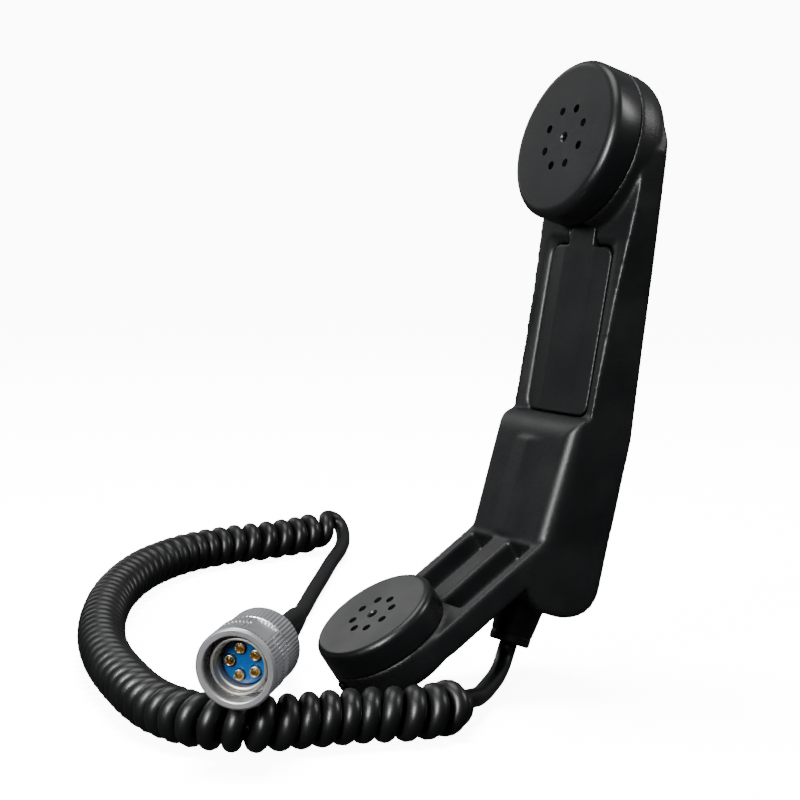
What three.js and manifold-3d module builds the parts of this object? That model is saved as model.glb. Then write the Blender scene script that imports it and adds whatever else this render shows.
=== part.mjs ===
// A radio hand microphone of the telephone kind: a hollow handset with a screw-on ear cap and
// mouth cap, a long press-to-talk bar over a sealed switch, and a curly cord that ends in a
// bayonet audio plug with five contacts.
//
// Millimetres, +Z up. The shapes are laid out in a standing frame: z = 0 is the surface that the
// mouthpiece and the cord rest on, x = 0 is the handset's plane of symmetry, and the ear cap's
// face looks towards -Y. The exported group moves the origin to the middle of the hand grip.

import * as THREE from 'three';
import { mergeVertices } from 'three/addons/utils/BufferGeometryUtils.js';
import Module from 'manifold-3d';

const wasm = await Module();
wasm.setup();

// ---------------------------------------------------------------- driving dimensions

const GAP = 0.3; // air between pieces that touch on the real object
const BIG = 260; // longer than anything it has to cut through
const ROUND_SIDES = 56; // facets round a cap and its cup

// Hand grip: the object's origin, inside the handle.
const GRIP_Y = 10;
const GRIP_Z = 122;

// Ear end: a round cup closed by a screw-on cap. Tilts are measured up from -Y.
const EAR_Z = 187; // height of the middle of its face; the handle's own heights follow it
const EAR_TILT = 18.5;
const EAR_TO_BACK = 27.13; // from its face straight back to the handle's back
const EAR_CAP_R = 28.4;
const EAR_CAP_HEIGHT = 11;
const EAR_CAP_WALL = 2.4;
const EAR_CAP_FILLET = 3;
const EAR_CUP_DEPTH = 26;
const EAR_CUP_FILLET = 9;
const EAR_HOLE_R = 1.5;
const EAR_HOLE_RING_R = 10.6;
const EAR_HOLE_PHASE = 29;
const RECEIVER_DEPTH = 9.5;

// Mouth end: the same again, smaller. Its cup rests on the surface.
const MOUTH_Y = -75;
const MOUTH_TILT = 56;
const MOUTH_CAP_R = 21.8;
const MOUTH_CAP_HEIGHT = 9.6;
const MOUTH_CAP_WALL = 2.2;
const MOUTH_CAP_FILLET = 2.4;
const MOUTH_CUP_DEPTH = 21.6;
const MOUTH_CUP_FILLET = 3;
const MOUTH_HOLE_R = 1.5;
const MOUTH_HOLE_RING_R = 7.75;
const MOUTH_HOLE_PHASE = -5;
const CAPSULE_DEPTH = 5.5;

// Both ends.
const HOLES_IN_RING = 8;
const SPIGOT_WALL = 1.9;
const GASKET_THICKNESS = 1.5;
const GASKET_WIDTH = 4.5;
const CAPSULE_RIM = 4;
const CUP_HOLLOW = 0.53; // radius of the hollow behind a capsule, as a part of the cap's radius
const TERMINAL_WIDTH = 4;
const TERMINAL_THICKNESS = 0.5;
const TERMINAL_START = 0.25; // from the axis, as a part of the hollow's radius
const TERMINAL_REACH = 0.55; // outwards, as a part of the hollow's radius

// Handle. The shoulder is the step between the block and the grip.
const HANDLE_HALF_WIDTH = 24.4;
const BLOCK_NARROWER = 1; // on each side
const HEAD_NARROWER = 0.2; // than the ear cap, on each side
const HANDLE_SWELL = 1.1;
const SHOULDER_PART = 0.4941; // height of the shoulder, as a part of EAR_Z
const BACK_ROUNDING = 8;
const BACK_BEND_DROP = 7.7; // from the shoulder down to the bend in the back
const HANDLE_DEPTH = 17.62; // from the front edge at the shoulder to the bend in the back
const UPPER_LEAN = 7.8;
const LOWER_LEAN = 13.5;
const EDGE_LEAN = 11.9;
const HEAD_DROP = 15; // below the ear cap's middle, where the handle's head begins
const HEAD_FRONT_RISE = 7;
const HEAD_FRONT_REACH = 8;
const HEAD_BACK_RISE = 3;
const SIDES_WIDEN_Z = 14.4; // below the shoulder, where the sides are as wide as the grip
const SIDES_SWELL_Z = 7.6; // above the shoulder, where the sides begin to swell
const SWELL_DROP = 55; // from the ear cap's middle to the top of the swell
const HEAD_LOW_DROP = 24;
const HEAD_HIGH_DROP = 5;
const HEAD_SHOULDER_RISE = 17;
const HEAD_SHOULDER_IN = 8;

// Block and heel.
const HEEL_Z = 25;
const HEEL_ROUNDING = 11;
const HEEL_BACK_Y = 1.43;
const HEEL_MIDDLE_Y = -11;
const HEEL_FRONT_Y = -26.5;
const HEEL_FRONT_RISE = 8.5;
const TOE_Y = -31;
const TOE_Z = 40;
const BLOCK_FOOT_Y = -24;
const BLOCK_FOOT_Z = 49.8;
const BLOCK_HEAD_REACH = 7.9; // in front of the handle's edge at the shoulder
const BLOCK_HEAD_DROP = 6.4;
const BLOCK_CORNER = 4.5;
const BLOCK_BROW_IN = 1.8;
const BLOCK_BROW_DROP = 1.4;
const RIDGE_HEIGHT = 0.9;
const RIDGE_HALF_WIDTH = 18.9;
const PAD_HEIGHT = 1;
const PAD_DEPTH = 8;
const PAD_LENGTH = 20;
const PAD_DROP = 9;

// Arm between the block and the mouth cup, in the mouth cap's own frame.
const ARM_WIDER = 1.4; // than the mouth cap, on each side
const ARM_TAPER = 12;
const ARM_TOP = 10.7;
const ARM_BOTTOM = 19.8;
const ARM_LENGTH = 66;
const ARM_END_Y = -8; // inside the block
const SLOT_UNDER_CAP = 0.8;
const SLOT_END = 53.5;
const SLOT_INNER_X = 5.3;
const SLOT_SIDE_WALL = 4.7;
const SLOT_FLOOR = 1.5;

// Press-to-talk bar, in its own frame: +Y up along its face, +Z out of it.
const BAR_SET_BACK = 0.95; // behind the handle's front edge
const BAR_RISE = 0.5; // above the shoulder
const BAR_LEAN = 10.8;
const BAR_SIDE_WALL = 6.7; // between the bar and the handle's side
const BAR_TO_CUP = 1.98;
const BAR_THICKNESS = 2.6;
const BAR_CORNER = 4;
const BAR_BEVEL_WIDTH = 8.6;
const BAR_BEVEL_DROP = 1.15;
const RIM_RISE = 0.9; // the handle's rims slope down to the bar from this height at its sides
const RIM_LONGER = 3; // than the bar
const BAR_CLEARANCE = 0.8;
const TONGUE_LENGTH = 7;
const TONGUE_BASE = 15;
const TONGUE_TIP = 14;
const HINGE_ABOVE_BAR = 4;
const HINGE_DEPTH = 3.4;
const HINGE_PIN_R = 1.3;
const HINGE_PIN_LENGTH = 25;
const HINGE_BARREL_R = 2.6;
const WELL_DEPTH = 6.6;

// Sealed switch under the bar.
const SWITCH_PART = 0.414; // of the way up the bar
const SWITCH_PLATE_WIDTH = 27;
const SWITCH_PLATE_LENGTH = 32;
const SWITCH_PLATE_THICKNESS = 1;
const SWITCH_SEAL_THICKNESS = 0.6;
const SWITCH_SEAT_DEPTH = 9;
const SWITCH_WIDTH = 15;
const SWITCH_LENGTH = 20;
const SWITCH_THICKNESS = 3.6;
const PLUNGER_R = 2.5;
const PLUNGER_REACH = 1.2;
const PLUNGER_TRAVEL = 1.9;
const PUSHER_PROUD = 0.4;
const PUSHER_WIDER = 1.5; // than the plunger, in radius
const SCREW_X = 10.5;
const SCREW_Y = 13;
const SCREW_HEAD_R = 1.9;
const SCREW_HEAD_HEIGHT = 0.7;
const SCREW_SHANK_R = 0.9;
const SCREW_SHANK_LENGTH = 3.4;

// Ways for the wires.
const WIREWAY_WIDTH = 8;
const WIREWAY_DEPTH = 4;
const WIREWAY_START = 22; // below the bar, inside the chamber
const WIREWAY_BEYOND = 14; // the bar's top, inside the ear cup
const WIRE_HOLE_R = 1.8;
const CHAMBER_WALL = 6; // behind the chamber
const CHAMBER_SIDE_WALL = 5;
const CHAMBER_FRONT_Y = -13.5;
const CHAMBER_FRONT_Z = 52;
const CHAMBER_BACK_Z = 38;
const CHAMBER_FLOOR = [[-9, 35], [-15, 37], [-15.5, 44]];

// Cord outlet at the heel.
const BOOT_Y = -16.4;
const BOOT_Z = 26.6;
const BOOT_LEAN = 20.3;
const BOOT_TOP_R = 8.4;
const BOOT_END_R = 7.1;
const BOOT_LENGTH = 14;
const BOOT_WALL = 2;
const BOOT_FOOT_EDGE = 0.6;
const BOOT_GROOVE_Z = 3; // above its foot
const BOOT_GROOVE_WIDTH = 1;
const BOOT_GROOVE_DEPTH = 0.3;
const BOOT_SEAT_WIDER = 0.8; // than the boot's top, in radius
const BOOT_NECK_LENGTH = 4.6;
const BOOT_FLANGE_WIDTH = 2.4;
const BOOT_FLANGE_THICKNESS = 2;
const BOOT_ROOM = 22;
const CORD_END_LENGTH = 14;
const CLAMP_WALL = 1.7;
const CLAMP_LENGTH = 4;

// Lock screw at the toe of the mouth cup.
const LOCK_SCREW_R = 2;
const LOCK_SCREW_DEPTH = 13.4;
const LOCK_SCREW_SHANK = 0.6; // radius, as a part of the head's
const LOCK_SCREW_LENGTH = 3;

// Cord.
const CORD_D = 6.4;
const TAIL_STRAIGHT = 2.5; // beyond the coil's last turn, from its top
const COIL_WINDING = 11.2; // diameter of the middle line of a turn
const COIL_SIDES = 10;
const TUBE_SIDES = 8;
const COIL_STEPS = 52;
const LEAD_STEPS = 16;
const TAIL_STEPS = 40;

// Plug, in its own frame: +Z out of its mouth, origin at the middle of the mouth.
const PLUG_X = 57.9;
const PLUG_Y = -153;
const PLUG_Z = 29.4;
const PLUG_TURN = 45.6;
const PLUG_NOD = 4.5;
const RING_R = 12.6;
const RING_LENGTH = 14.4;
const RING_FACE = 2.4;
const RING_WALL = 1.7;
const RING_LIP = 2;
const RING_COLLAR_WALL = 3.2;
const RING_COLLAR = 2;
const KNURL_DEPTH = 0.35;
const KNURL_TEETH = 36;
const FLAT_DEPTH = 0.7;
const BAYONET_PINS = 3;
const BAYONET_PIN_R = 0.9;
const BAYONET_PIN_REACH = 1.1;
const BAYONET_PIN_SET_BACK = 2;
const SHELL_SMALLER = 3.6; // than the ring, in radius
const SHELL_WALL = 1.6;
const SHELL_SET_BACK = 3;
const SHELL_LENGTH = 19;
const SHELL_FLANGE = 1.6;
const INSERT_SET_BACK = 9;
const INSERT_LENGTH = 9;
const CONTACTS = 5;
const CONTACT_SIZE = 0.2297; // radius, as a part of the shell's bore
const CONTACT_BORE = 0.647; // radius, as a part of the contact's
const CONTACT_RING = 0.595; // radius, as a part of the shell's bore
const CONTACT_PHASE = 32;
const CONTACT_PROUD = 1.4;
const CONTACT_DEPTH = 4;
const CONTACT_TAIL = 2;
const BACKSHELL_SMALLER = 0.5; // than the ring, in radius
const BACKSHELL_LENGTH = 10.5;
const BACKSHELL_TAPER = 3.7;
const BACKSHELL_NECK_LENGTH = 4;
const SPACER_THICKNESS = 0.8;
const NUT_WALL = 2;
const NUT_LENGTH = 6;
const NUT_GROOVES = 3;
const NUT_GROOVE_DEPTH = 0.5;
const PLUG_BOOT_WALL = 1.4;
const PLUG_BOOT_END_WALL = 1;
const PLUG_BOOT_LENGTH = 9;

// ---------------------------------------------------------------- sizes that follow

const rad = THREE.MathUtils.degToRad;
const rise = (run, lean) => run * Math.tan(rad(lean));

const SHOULDER_Z = EAR_Z * SHOULDER_PART;
const BACK_BEND_Z = SHOULDER_Z - BACK_BEND_DROP;
const BACK_BEND_Y = HEEL_BACK_Y + rise(BACK_BEND_Z - HEEL_Z - HEEL_ROUNDING, LOWER_LEAN);
const EDGE_Y = BACK_BEND_Y - HANDLE_DEPTH;
const EAR_Y = BACK_BEND_Y + rise(EAR_Z - BACK_BEND_Z, UPPER_LEAN) - EAR_TO_BACK;
const HANDLE_TOP_HALF_WIDTH = EAR_CAP_R - HEAD_NARROWER;
const BLOCK_HALF_WIDTH = HANDLE_HALF_WIDTH - BLOCK_NARROWER;
const BLOCK_HEAD_Y = EDGE_Y - BLOCK_HEAD_REACH;
const BLOCK_HEAD_Z = SHOULDER_Z - BLOCK_HEAD_DROP;

// The mouth cup's lower edge rests on the surface.
const MOUTH_Z = MOUTH_CUP_FILLET
  + (MOUTH_CUP_DEPTH - MOUTH_CUP_FILLET) * Math.sin(rad(MOUTH_TILT))
  + (MOUTH_CAP_R - MOUTH_CUP_FILLET) * Math.cos(rad(MOUTH_TILT));
const ARM_HALF_WIDTH = MOUTH_CAP_R + ARM_WIDER;
const SLOT_OUTER_X = ARM_HALF_WIDTH - SLOT_SIDE_WALL;
const SLOT_START = MOUTH_CAP_R - SLOT_UNDER_CAP;

// The bar runs from the shoulder to just short of the ear cup.
const BAR_Y = EDGE_Y + BAR_SET_BACK;
const BAR_Z = SHOULDER_Z + BAR_RISE;
const EAR_CUP_LOW_Z = EAR_Z - EAR_CAP_R * Math.cos(rad(EAR_TILT)) - EAR_CUP_DEPTH * Math.sin(rad(EAR_TILT));
const BAR_LENGTH = (EAR_CUP_LOW_Z - BAR_Z) / Math.cos(rad(BAR_LEAN)) - BAR_TO_CUP;
const BAR_WIDTH = 2 * (HANDLE_HALF_WIDTH - BAR_SIDE_WALL);
const SWITCH_AT = BAR_LENGTH * SWITCH_PART;

const BOOT_NECK_R = CORD_D / 2 + BOOT_WALL;
const BOOT_FLANGE_R = BOOT_NECK_R + BOOT_FLANGE_WIDTH;
const CLAMP_R = CORD_D / 2 + GAP + CLAMP_WALL;
const COIL_D = COIL_WINDING + CORD_D;

const RING_MOUTH_R = RING_R - RING_FACE;
const RING_BORE_R = RING_R - RING_WALL;
const RING_COLLAR_R = RING_R - RING_COLLAR_WALL;
const SHELL_R = RING_R - SHELL_SMALLER;
const SHELL_BORE_R = SHELL_R - SHELL_WALL;
const SHELL_FLANGE_R = RING_BORE_R - 0.4;
const CONTACT_R = SHELL_BORE_R * CONTACT_SIZE;
const CONTACT_BORE_R = CONTACT_R * CONTACT_BORE;
const CONTACT_RING_R = SHELL_BORE_R * CONTACT_RING;
const BACKSHELL_R = RING_R - BACKSHELL_SMALLER;
const PLUG_BOOT_R = CORD_D / 2 + PLUG_BOOT_WALL;
const PLUG_BOOT_END_R = CORD_D / 2 + PLUG_BOOT_END_WALL;
const NUT_R = PLUG_BOOT_R + NUT_WALL;

// ---------------------------------------------------------------- small helpers

const material = (color, roughness, metalness = 0) =>
  new THREE.MeshStandardMaterial({ color, roughness, metalness });

const MOULDING = 0x17181a;
const RUBBER = 0x101112;
const STEEL = 0xb4b6ba;
const SATIN_ALLOY = 0xc3c5ca;
const GOLD = 0xd0a558;

function solid(geometry) {
  const bare = geometry.clone();
  bare.deleteAttribute('normal');
  bare.deleteAttribute('uv');
  const merged = mergeVertices(bare, 1e-4);
  const mesh = new wasm.Mesh({
    numProp: 3,
    vertProperties: new Float32Array(merged.attributes.position.array),
    triVerts: new Uint32Array(merged.index.array),
  });
  mesh.merge();
  return new wasm.Manifold(mesh);
}

function geometryOf(body) {
  const mesh = body.getMesh();
  const geometry = new THREE.BufferGeometry();
  geometry.setAttribute('position', new THREE.BufferAttribute(mesh.vertProperties, 3));
  geometry.setIndex(new THREE.BufferAttribute(mesh.triVerts, 1));
  return geometry;
}

const join = (first, ...rest) => rest.reduce((sum, next) => sum.add(next), first);
const cut = (first, ...tools) => tools.reduce((sum, next) => sum.subtract(next), first);
const keep = (first, ...rest) => rest.reduce((sum, next) => sum.intersect(next), first);

// A solid moved by a matrix.
const placed = (geometry, matrix) => solid(geometry.clone().applyMatrix4(matrix));

// A frame that leans: its +Z points up from -Y by `tilt` degrees.
function facing(y, z, tilt) {
  const frame = new THREE.Group();
  frame.position.set(0, y, z);
  frame.rotation.x = rad(90 - tilt);
  frame.updateMatrixWorld(true);
  return frame;
}

// A solid of revolution about Z; points are [radius, z].
function turned(points, segments = 28) {
  const profile = points.map(([r, z]) => new THREE.Vector2(r, z));
  return new THREE.LatheGeometry(profile, segments).rotateX(Math.PI / 2);
}

// A disc or cylinder about Z from z0 up to z1.
const disc = (r, z0, z1, segments = 28) =>
  turned([[0, z0], [r, z0], [r, z1], [0, z1]], segments);

// A ring about Z.
const ring = (inner, outer, z0, z1, segments = 28) =>
  turned([[inner, z0], [outer, z0], [outer, z1], [inner, z1], [inner, z0]], segments);

const block = (x0, x1, y0, y1, z0, z1) =>
  new THREE.BoxGeometry(x1 - x0, y1 - y0, z1 - z0)
    .translate((x0 + x1) / 2, (y0 + y1) / 2, (z0 + z1) / 2);

// A plan outline in X and Y, extruded from z0 to z1.
const plate = (shape, z0, z1, curveSegments = 6) =>
  new THREE.ExtrudeGeometry(shape, { depth: z1 - z0, bevelEnabled: false, curveSegments })
    .translate(0, 0, z0);

// A side view in Y and Z, extruded across X.
const sideSlab = (shape, halfWidth, curveSegments = 6) =>
  plate(shape, -halfWidth, halfWidth, curveSegments)
    .applyMatrix4(new THREE.Matrix4().set(0, 0, 1, 0, 1, 0, 0, 0, 0, 1, 0, 0, 0, 0, 0, 1));

function outline(points) {
  return new THREE.Shape(points.map(([x, y]) => new THREE.Vector2(x, y)));
}

// Quarter-round points from one direction to the next, for a lathe profile.
function arc(r, z, radius, from, to, steps = 5) {
  return Array.from({ length: steps + 1 }, (_, i) => {
    const angle = rad(from + (to - from) * i / steps);
    return [r + radius * Math.cos(angle), z + radius * Math.sin(angle)];
  });
}

const around = (count, phase = 0) =>
  Array.from({ length: count }, (_, i) => rad(phase + 360 * i / count));

function piece(name, geometry, look) {
  const mesh = new THREE.Mesh(geometry, look);
  mesh.name = name;
  return mesh;
}

// ---------------------------------------------------------------- caps and what they hold

const ear = {
  name: 'ear',
  frame: facing(EAR_Y, EAR_Z, EAR_TILT),
  r: EAR_CAP_R,
  height: EAR_CAP_HEIGHT,
  wall: EAR_CAP_WALL,
  fillet: EAR_CAP_FILLET,
  depth: EAR_CUP_DEPTH,
  cupFillet: EAR_CUP_FILLET,
  holeR: EAR_HOLE_R,
  ringR: EAR_HOLE_RING_R,
  phase: EAR_HOLE_PHASE,
  capsuleDepth: RECEIVER_DEPTH,
  backR: EAR_CAP_R * CUP_HOLLOW,
};

const mouth = {
  name: 'mouth',
  frame: facing(MOUTH_Y, MOUTH_Z, MOUTH_TILT),
  r: MOUTH_CAP_R,
  height: MOUTH_CAP_HEIGHT,
  wall: MOUTH_CAP_WALL,
  fillet: MOUTH_CAP_FILLET,
  depth: MOUTH_CUP_DEPTH,
  cupFillet: MOUTH_CUP_FILLET,
  holeR: MOUTH_HOLE_R,
  ringR: MOUTH_HOLE_RING_R,
  phase: MOUTH_HOLE_PHASE,
  capsuleDepth: CAPSULE_DEPTH,
  backR: MOUTH_CAP_R * CUP_HOLLOW,
};

// Levels inside one end, measured inwards from the cap's face.
function levels(end) {
  const gasket = end.wall + GAP;
  const capsule = gasket + GASKET_THICKNESS + GAP;
  const ledge = capsule + end.capsuleDepth + GAP;
  const floor = end.depth - end.wall;
  const spigotR = end.r - end.wall - GAP;
  const pocketR = spigotR - SPIGOT_WALL;
  return { gasket, capsule, ledge, floor, spigotR, pocketR };
}

function cap(end) {
  const body = solid(turned([
    [0, 0],
    ...arc(end.r - end.fillet, -end.fillet, end.fillet, 90, 0),
    [end.r, -end.height],
    [end.r - end.wall, -end.height],
    [end.r - end.wall, -end.wall],
    [0, -end.wall],
  ].reverse(), ROUND_SIDES));
  const holes = around(HOLES_IN_RING, end.phase).map((angle) =>
    solid(disc(end.holeR, -end.wall - 1, 1, 10)
      .translate(end.ringR * Math.cos(angle), end.ringR * Math.sin(angle), 0)));
  return geometryOf(cut(body, ...holes, solid(disc(end.holeR, -end.wall - 1, 1, 10))));
}

// The cup's outside: a spigot that the cap screws over, and the cup wall behind the cap.
function cupOutside(end) {
  const { spigotR } = levels(end);
  const seam = -end.height - GAP;
  return placed(turned([
    [0, -end.depth],
    ...arc(end.r - end.cupFillet, -end.depth + end.cupFillet, end.cupFillet, -90, 0),
    [end.r, seam],
    [spigotR, seam],
    [spigotR, -end.wall - GAP],
    [0, -end.wall - GAP],
  ], ROUND_SIDES), end.frame.matrixWorld);
}

// The cup's inside: a pocket for the capsule, and a narrower hollow behind it.
function cupInside(end) {
  const at = levels(end);
  return placed(turned([
    [0, -at.floor],
    [end.backR, -at.floor],
    [end.backR, -at.ledge],
    [at.pocketR, -at.ledge],
    [at.pocketR, 1],
    [0, 1],
  ], 32), end.frame.matrixWorld);
}

function gasket(end) {
  const at = levels(end);
  const r = at.pocketR - GAP;
  return ring(r - GASKET_WIDTH, r, -at.gasket - GASKET_THICKNESS, -at.gasket);
}

// The capsule fills its pocket and sits on the ledge; its front is dished.
function capsule(end) {
  const at = levels(end);
  const r = at.pocketR - GAP;
  const front = -at.capsule;
  const back = -at.capsule - end.capsuleDepth;
  return turned([
    [0, back],
    [r, back],
    [r, front],
    [r - CAPSULE_RIM, front],
    [r - CAPSULE_RIM - 1, front - 1],
    [0, front - 1],
  ]);
}

// A leaf terminal: it stands on the cup's floor and leans on the back of the capsule.
function terminal(end, side) {
  const at = levels(end);
  const foot = -at.floor + GAP;
  const tip = -at.ledge - GAP;
  const t = TERMINAL_THICKNESS;
  const x = end.backR * TERMINAL_START;
  const reach = end.backR * TERMINAL_REACH;
  const shape = outline([
    [x, foot],
    [x + reach, foot],
    [x + reach, foot + t],
    [x + 2 * t, foot + t],
    [x + reach, tip - t],
    [x + reach, tip],
    [x + reach - t, tip],
    [x, foot + 2 * t],
  ]);
  return plate(shape, -TERMINAL_WIDTH / 2, TERMINAL_WIDTH / 2)
    .rotateX(Math.PI / 2)
    .rotateZ(side > 0 ? 0 : Math.PI);
}

// ---------------------------------------------------------------- bar frame and its levels

const barFrame = facing(BAR_Y, BAR_Z, BAR_LEAN);
const HINGE_Y = BAR_LENGTH + HINGE_ABOVE_BAR;
const wellFloor = -WELL_DEPTH;
const seatFloor = -SWITCH_SEAT_DEPTH;
const sealTop = seatFloor + GAP + SWITCH_SEAL_THICKNESS;
const plateTop = sealTop + GAP + SWITCH_PLATE_THICKNESS;
const switchTop = seatFloor - GAP;
const switchBottom = switchTop - SWITCH_THICKNESS;

function barOutline(grow) {
  const half = BAR_WIDTH / 2 + grow;
  const low = -grow;
  const high = BAR_LENGTH + grow;
  const corner = BAR_CORNER + grow;
  const tongueEnd = BAR_LENGTH + TONGUE_LENGTH + grow;
  const shape = new THREE.Shape();
  shape.moveTo(-half + corner, low);
  shape.lineTo(half - corner, low);
  shape.absarc(half - corner, low + corner, corner, -Math.PI / 2, 0);
  shape.absarc(half - corner, high - corner, corner, 0, Math.PI / 2);
  shape.lineTo(TONGUE_BASE / 2 + grow, high);
  shape.lineTo(TONGUE_TIP / 2 + grow, tongueEnd);
  shape.lineTo(-TONGUE_TIP / 2 - grow, tongueEnd);
  shape.lineTo(-TONGUE_BASE / 2 - grow, high);
  shape.absarc(-half + corner, high - corner, corner, Math.PI / 2, Math.PI);
  shape.absarc(-half + corner, low + corner, corner, Math.PI, Math.PI * 1.5);
  return shape;
}

function bar() {
  const body = solid(plate(barOutline(0), -BAR_THICKNESS, 0));
  const bevels = [-1, 1].map((side) => {
    const edge = side * BAR_WIDTH / 2;
    const crease = edge - side * BAR_BEVEL_WIDTH;
    const past = edge + side;
    const drop = BAR_BEVEL_DROP * (BAR_BEVEL_WIDTH + 1) / BAR_BEVEL_WIDTH;
    const wedge = outline([[crease, 0], [past, -drop], [past, 2], [crease, 2]]);
    return solid(new THREE.ExtrudeGeometry(wedge, { depth: BIG, bevelEnabled: false })
      .rotateX(Math.PI / 2)
      .translate(0, BIG / 2, 0));
  });
  const barrelHalf = TONGUE_TIP / 2;
  const barrel = solid(disc(HINGE_BARREL_R, -barrelHalf, barrelHalf, 20)
    .rotateY(Math.PI / 2)
    .translate(0, HINGE_Y, -HINGE_DEPTH));
  const neck = solid(block(-barrelHalf, barrelHalf, HINGE_Y - HINGE_BARREL_R, HINGE_Y + HINGE_BARREL_R,
    -HINGE_DEPTH, -BAR_THICKNESS / 2));
  const bore = solid(disc(HINGE_PIN_R + GAP, -BIG, BIG, 16)
    .rotateY(Math.PI / 2)
    .translate(0, HINGE_Y, -HINGE_DEPTH));
  const pusher = solid(disc(PLUNGER_R + PUSHER_WIDER, -BAR_THICKNESS - PUSHER_PROUD, -BAR_THICKNESS / 2, 20)
    .translate(0, SWITCH_AT, 0));
  return geometryOf(cut(join(cut(body, ...bevels), barrel, neck, pusher), bore));
}

// Slopes the handle's front down from its sides to the bar's edges.
function rims() {
  const inner = BAR_WIDTH / 2 + BAR_CLEARANCE;
  const outer = HANDLE_HALF_WIDTH;
  const dish = outline([
    [-inner, -BAR_BEVEL_DROP],
    [inner, -BAR_BEVEL_DROP],
    [outer, RIM_RISE],
    [outer, BAR_THICKNESS],
    [-outer, BAR_THICKNESS],
    [-outer, RIM_RISE],
  ]);
  return plate(dish, -BAR_LENGTH - RIM_LONGER, BAR_CLEARANCE).rotateX(Math.PI / 2);
}

// What the bar needs in the body: a well open to the front, room for its hinge, and a seat and
// a pocket for the switch.
function barWell() {
  const tools = [
    rims(),
    plate(barOutline(BAR_CLEARANCE), wellFloor, BIG / 8),
    block(-TONGUE_TIP / 2 - GAP, TONGUE_TIP / 2 + GAP,
      HINGE_Y - HINGE_BARREL_R - 1, HINGE_Y + HINGE_BARREL_R + BAR_CLEARANCE, wellFloor - 0.4, 0),
    disc(HINGE_PIN_R + GAP, -HINGE_PIN_LENGTH / 2 - GAP, HINGE_PIN_LENGTH / 2 + GAP, 16)
      .rotateY(Math.PI / 2)
      .translate(0, HINGE_Y, -HINGE_DEPTH),
    block(-SWITCH_PLATE_WIDTH / 2 - GAP, SWITCH_PLATE_WIDTH / 2 + GAP,
      SWITCH_AT - SWITCH_PLATE_LENGTH / 2 - GAP, SWITCH_AT + SWITCH_PLATE_LENGTH / 2 + GAP,
      seatFloor, wellFloor + 1),
    block(-SWITCH_WIDTH / 2 - GAP, SWITCH_WIDTH / 2 + GAP,
      SWITCH_AT - SWITCH_LENGTH / 2 - GAP, SWITCH_AT + SWITCH_LENGTH / 2 + GAP,
      switchBottom - GAP, seatFloor + 1),
    ...screwPlaces().map(([x, y]) =>
      disc(SCREW_SHANK_R + GAP, plateTop - SCREW_SHANK_LENGTH - 2 * GAP, 0, 12).translate(x, y, 0)),
  ];
  return tools.map((tool) => placed(tool, barFrame.matrixWorld));
}

function screwPlaces() {
  return [[-1, -1], [1, -1], [1, 1], [-1, 1]].map(([i, j]) => [i * SCREW_X, SWITCH_AT + j * SCREW_Y]);
}

function drilled(geometry, tools) {
  return geometryOf(cut(solid(geometry), ...tools.map(solid)));
}

const plateBlank = (z0, z1) => block(-SWITCH_PLATE_WIDTH / 2, SWITCH_PLATE_WIDTH / 2,
  SWITCH_AT - SWITCH_PLATE_LENGTH / 2, SWITCH_AT + SWITCH_PLATE_LENGTH / 2, z0, z1);

const plungerHole = (z0, z1) => disc(PLUNGER_R + GAP, z0, z1, 20).translate(0, SWITCH_AT, 0);

const screwHoles = () => screwPlaces().map(([x, y]) =>
  disc(SCREW_SHANK_R + GAP, -20, 0, 12).translate(x, y, 0));

function screw([x, y]) {
  const head = plateTop + GAP;
  return turned([
    [0, head - SCREW_SHANK_LENGTH],
    [SCREW_SHANK_R, head - SCREW_SHANK_LENGTH],
    [SCREW_SHANK_R, head],
    [SCREW_HEAD_R, head],
    [SCREW_HEAD_R, head + SCREW_HEAD_HEIGHT],
    [0, head + SCREW_HEAD_HEIGHT],
  ], 16).translate(x, y, 0);
}

// ---------------------------------------------------------------- cord outlet

const bootFrame = new THREE.Group();
bootFrame.position.set(0, BOOT_Y, BOOT_Z);
bootFrame.rotation.x = rad(-BOOT_LEAN);
bootFrame.updateMatrixWorld(true);

function boot() {
  const flange = BOOT_NECK_LENGTH + GAP;
  const groove = BOOT_GROOVE_Z - BOOT_LENGTH;
  return geometryOf(cut(solid(turned([
    [0, -BOOT_LENGTH],
    [BOOT_END_R - BOOT_FOOT_EDGE, -BOOT_LENGTH],
    [BOOT_END_R, -BOOT_LENGTH + BOOT_FOOT_EDGE],
    [BOOT_END_R, groove],
    [BOOT_END_R - BOOT_GROOVE_DEPTH, groove + BOOT_GROOVE_WIDTH * 0.2],
    [BOOT_END_R - BOOT_GROOVE_DEPTH, groove + BOOT_GROOVE_WIDTH * 0.8],
    [BOOT_END_R, groove + BOOT_GROOVE_WIDTH],
    [BOOT_TOP_R, 0],
    [BOOT_NECK_R, 0],
    [BOOT_NECK_R, flange],
    [BOOT_FLANGE_R, flange],
    [BOOT_FLANGE_R, flange + BOOT_FLANGE_THICKNESS],
    [0, flange + BOOT_FLANGE_THICKNESS],
  ], 32)), solid(disc(CORD_D / 2 + GAP, -BIG, BIG, 24))));
}

// ---------------------------------------------------------------- handset body

const edgeAt = (z) => EDGE_Y + rise(z - SHOULDER_Z, EDGE_LEAN);
const backAt = (z) =>
  BACK_BEND_Y + rise(z - BACK_BEND_Z, z > BACK_BEND_Z ? UPPER_LEAN : LOWER_LEAN);

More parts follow.
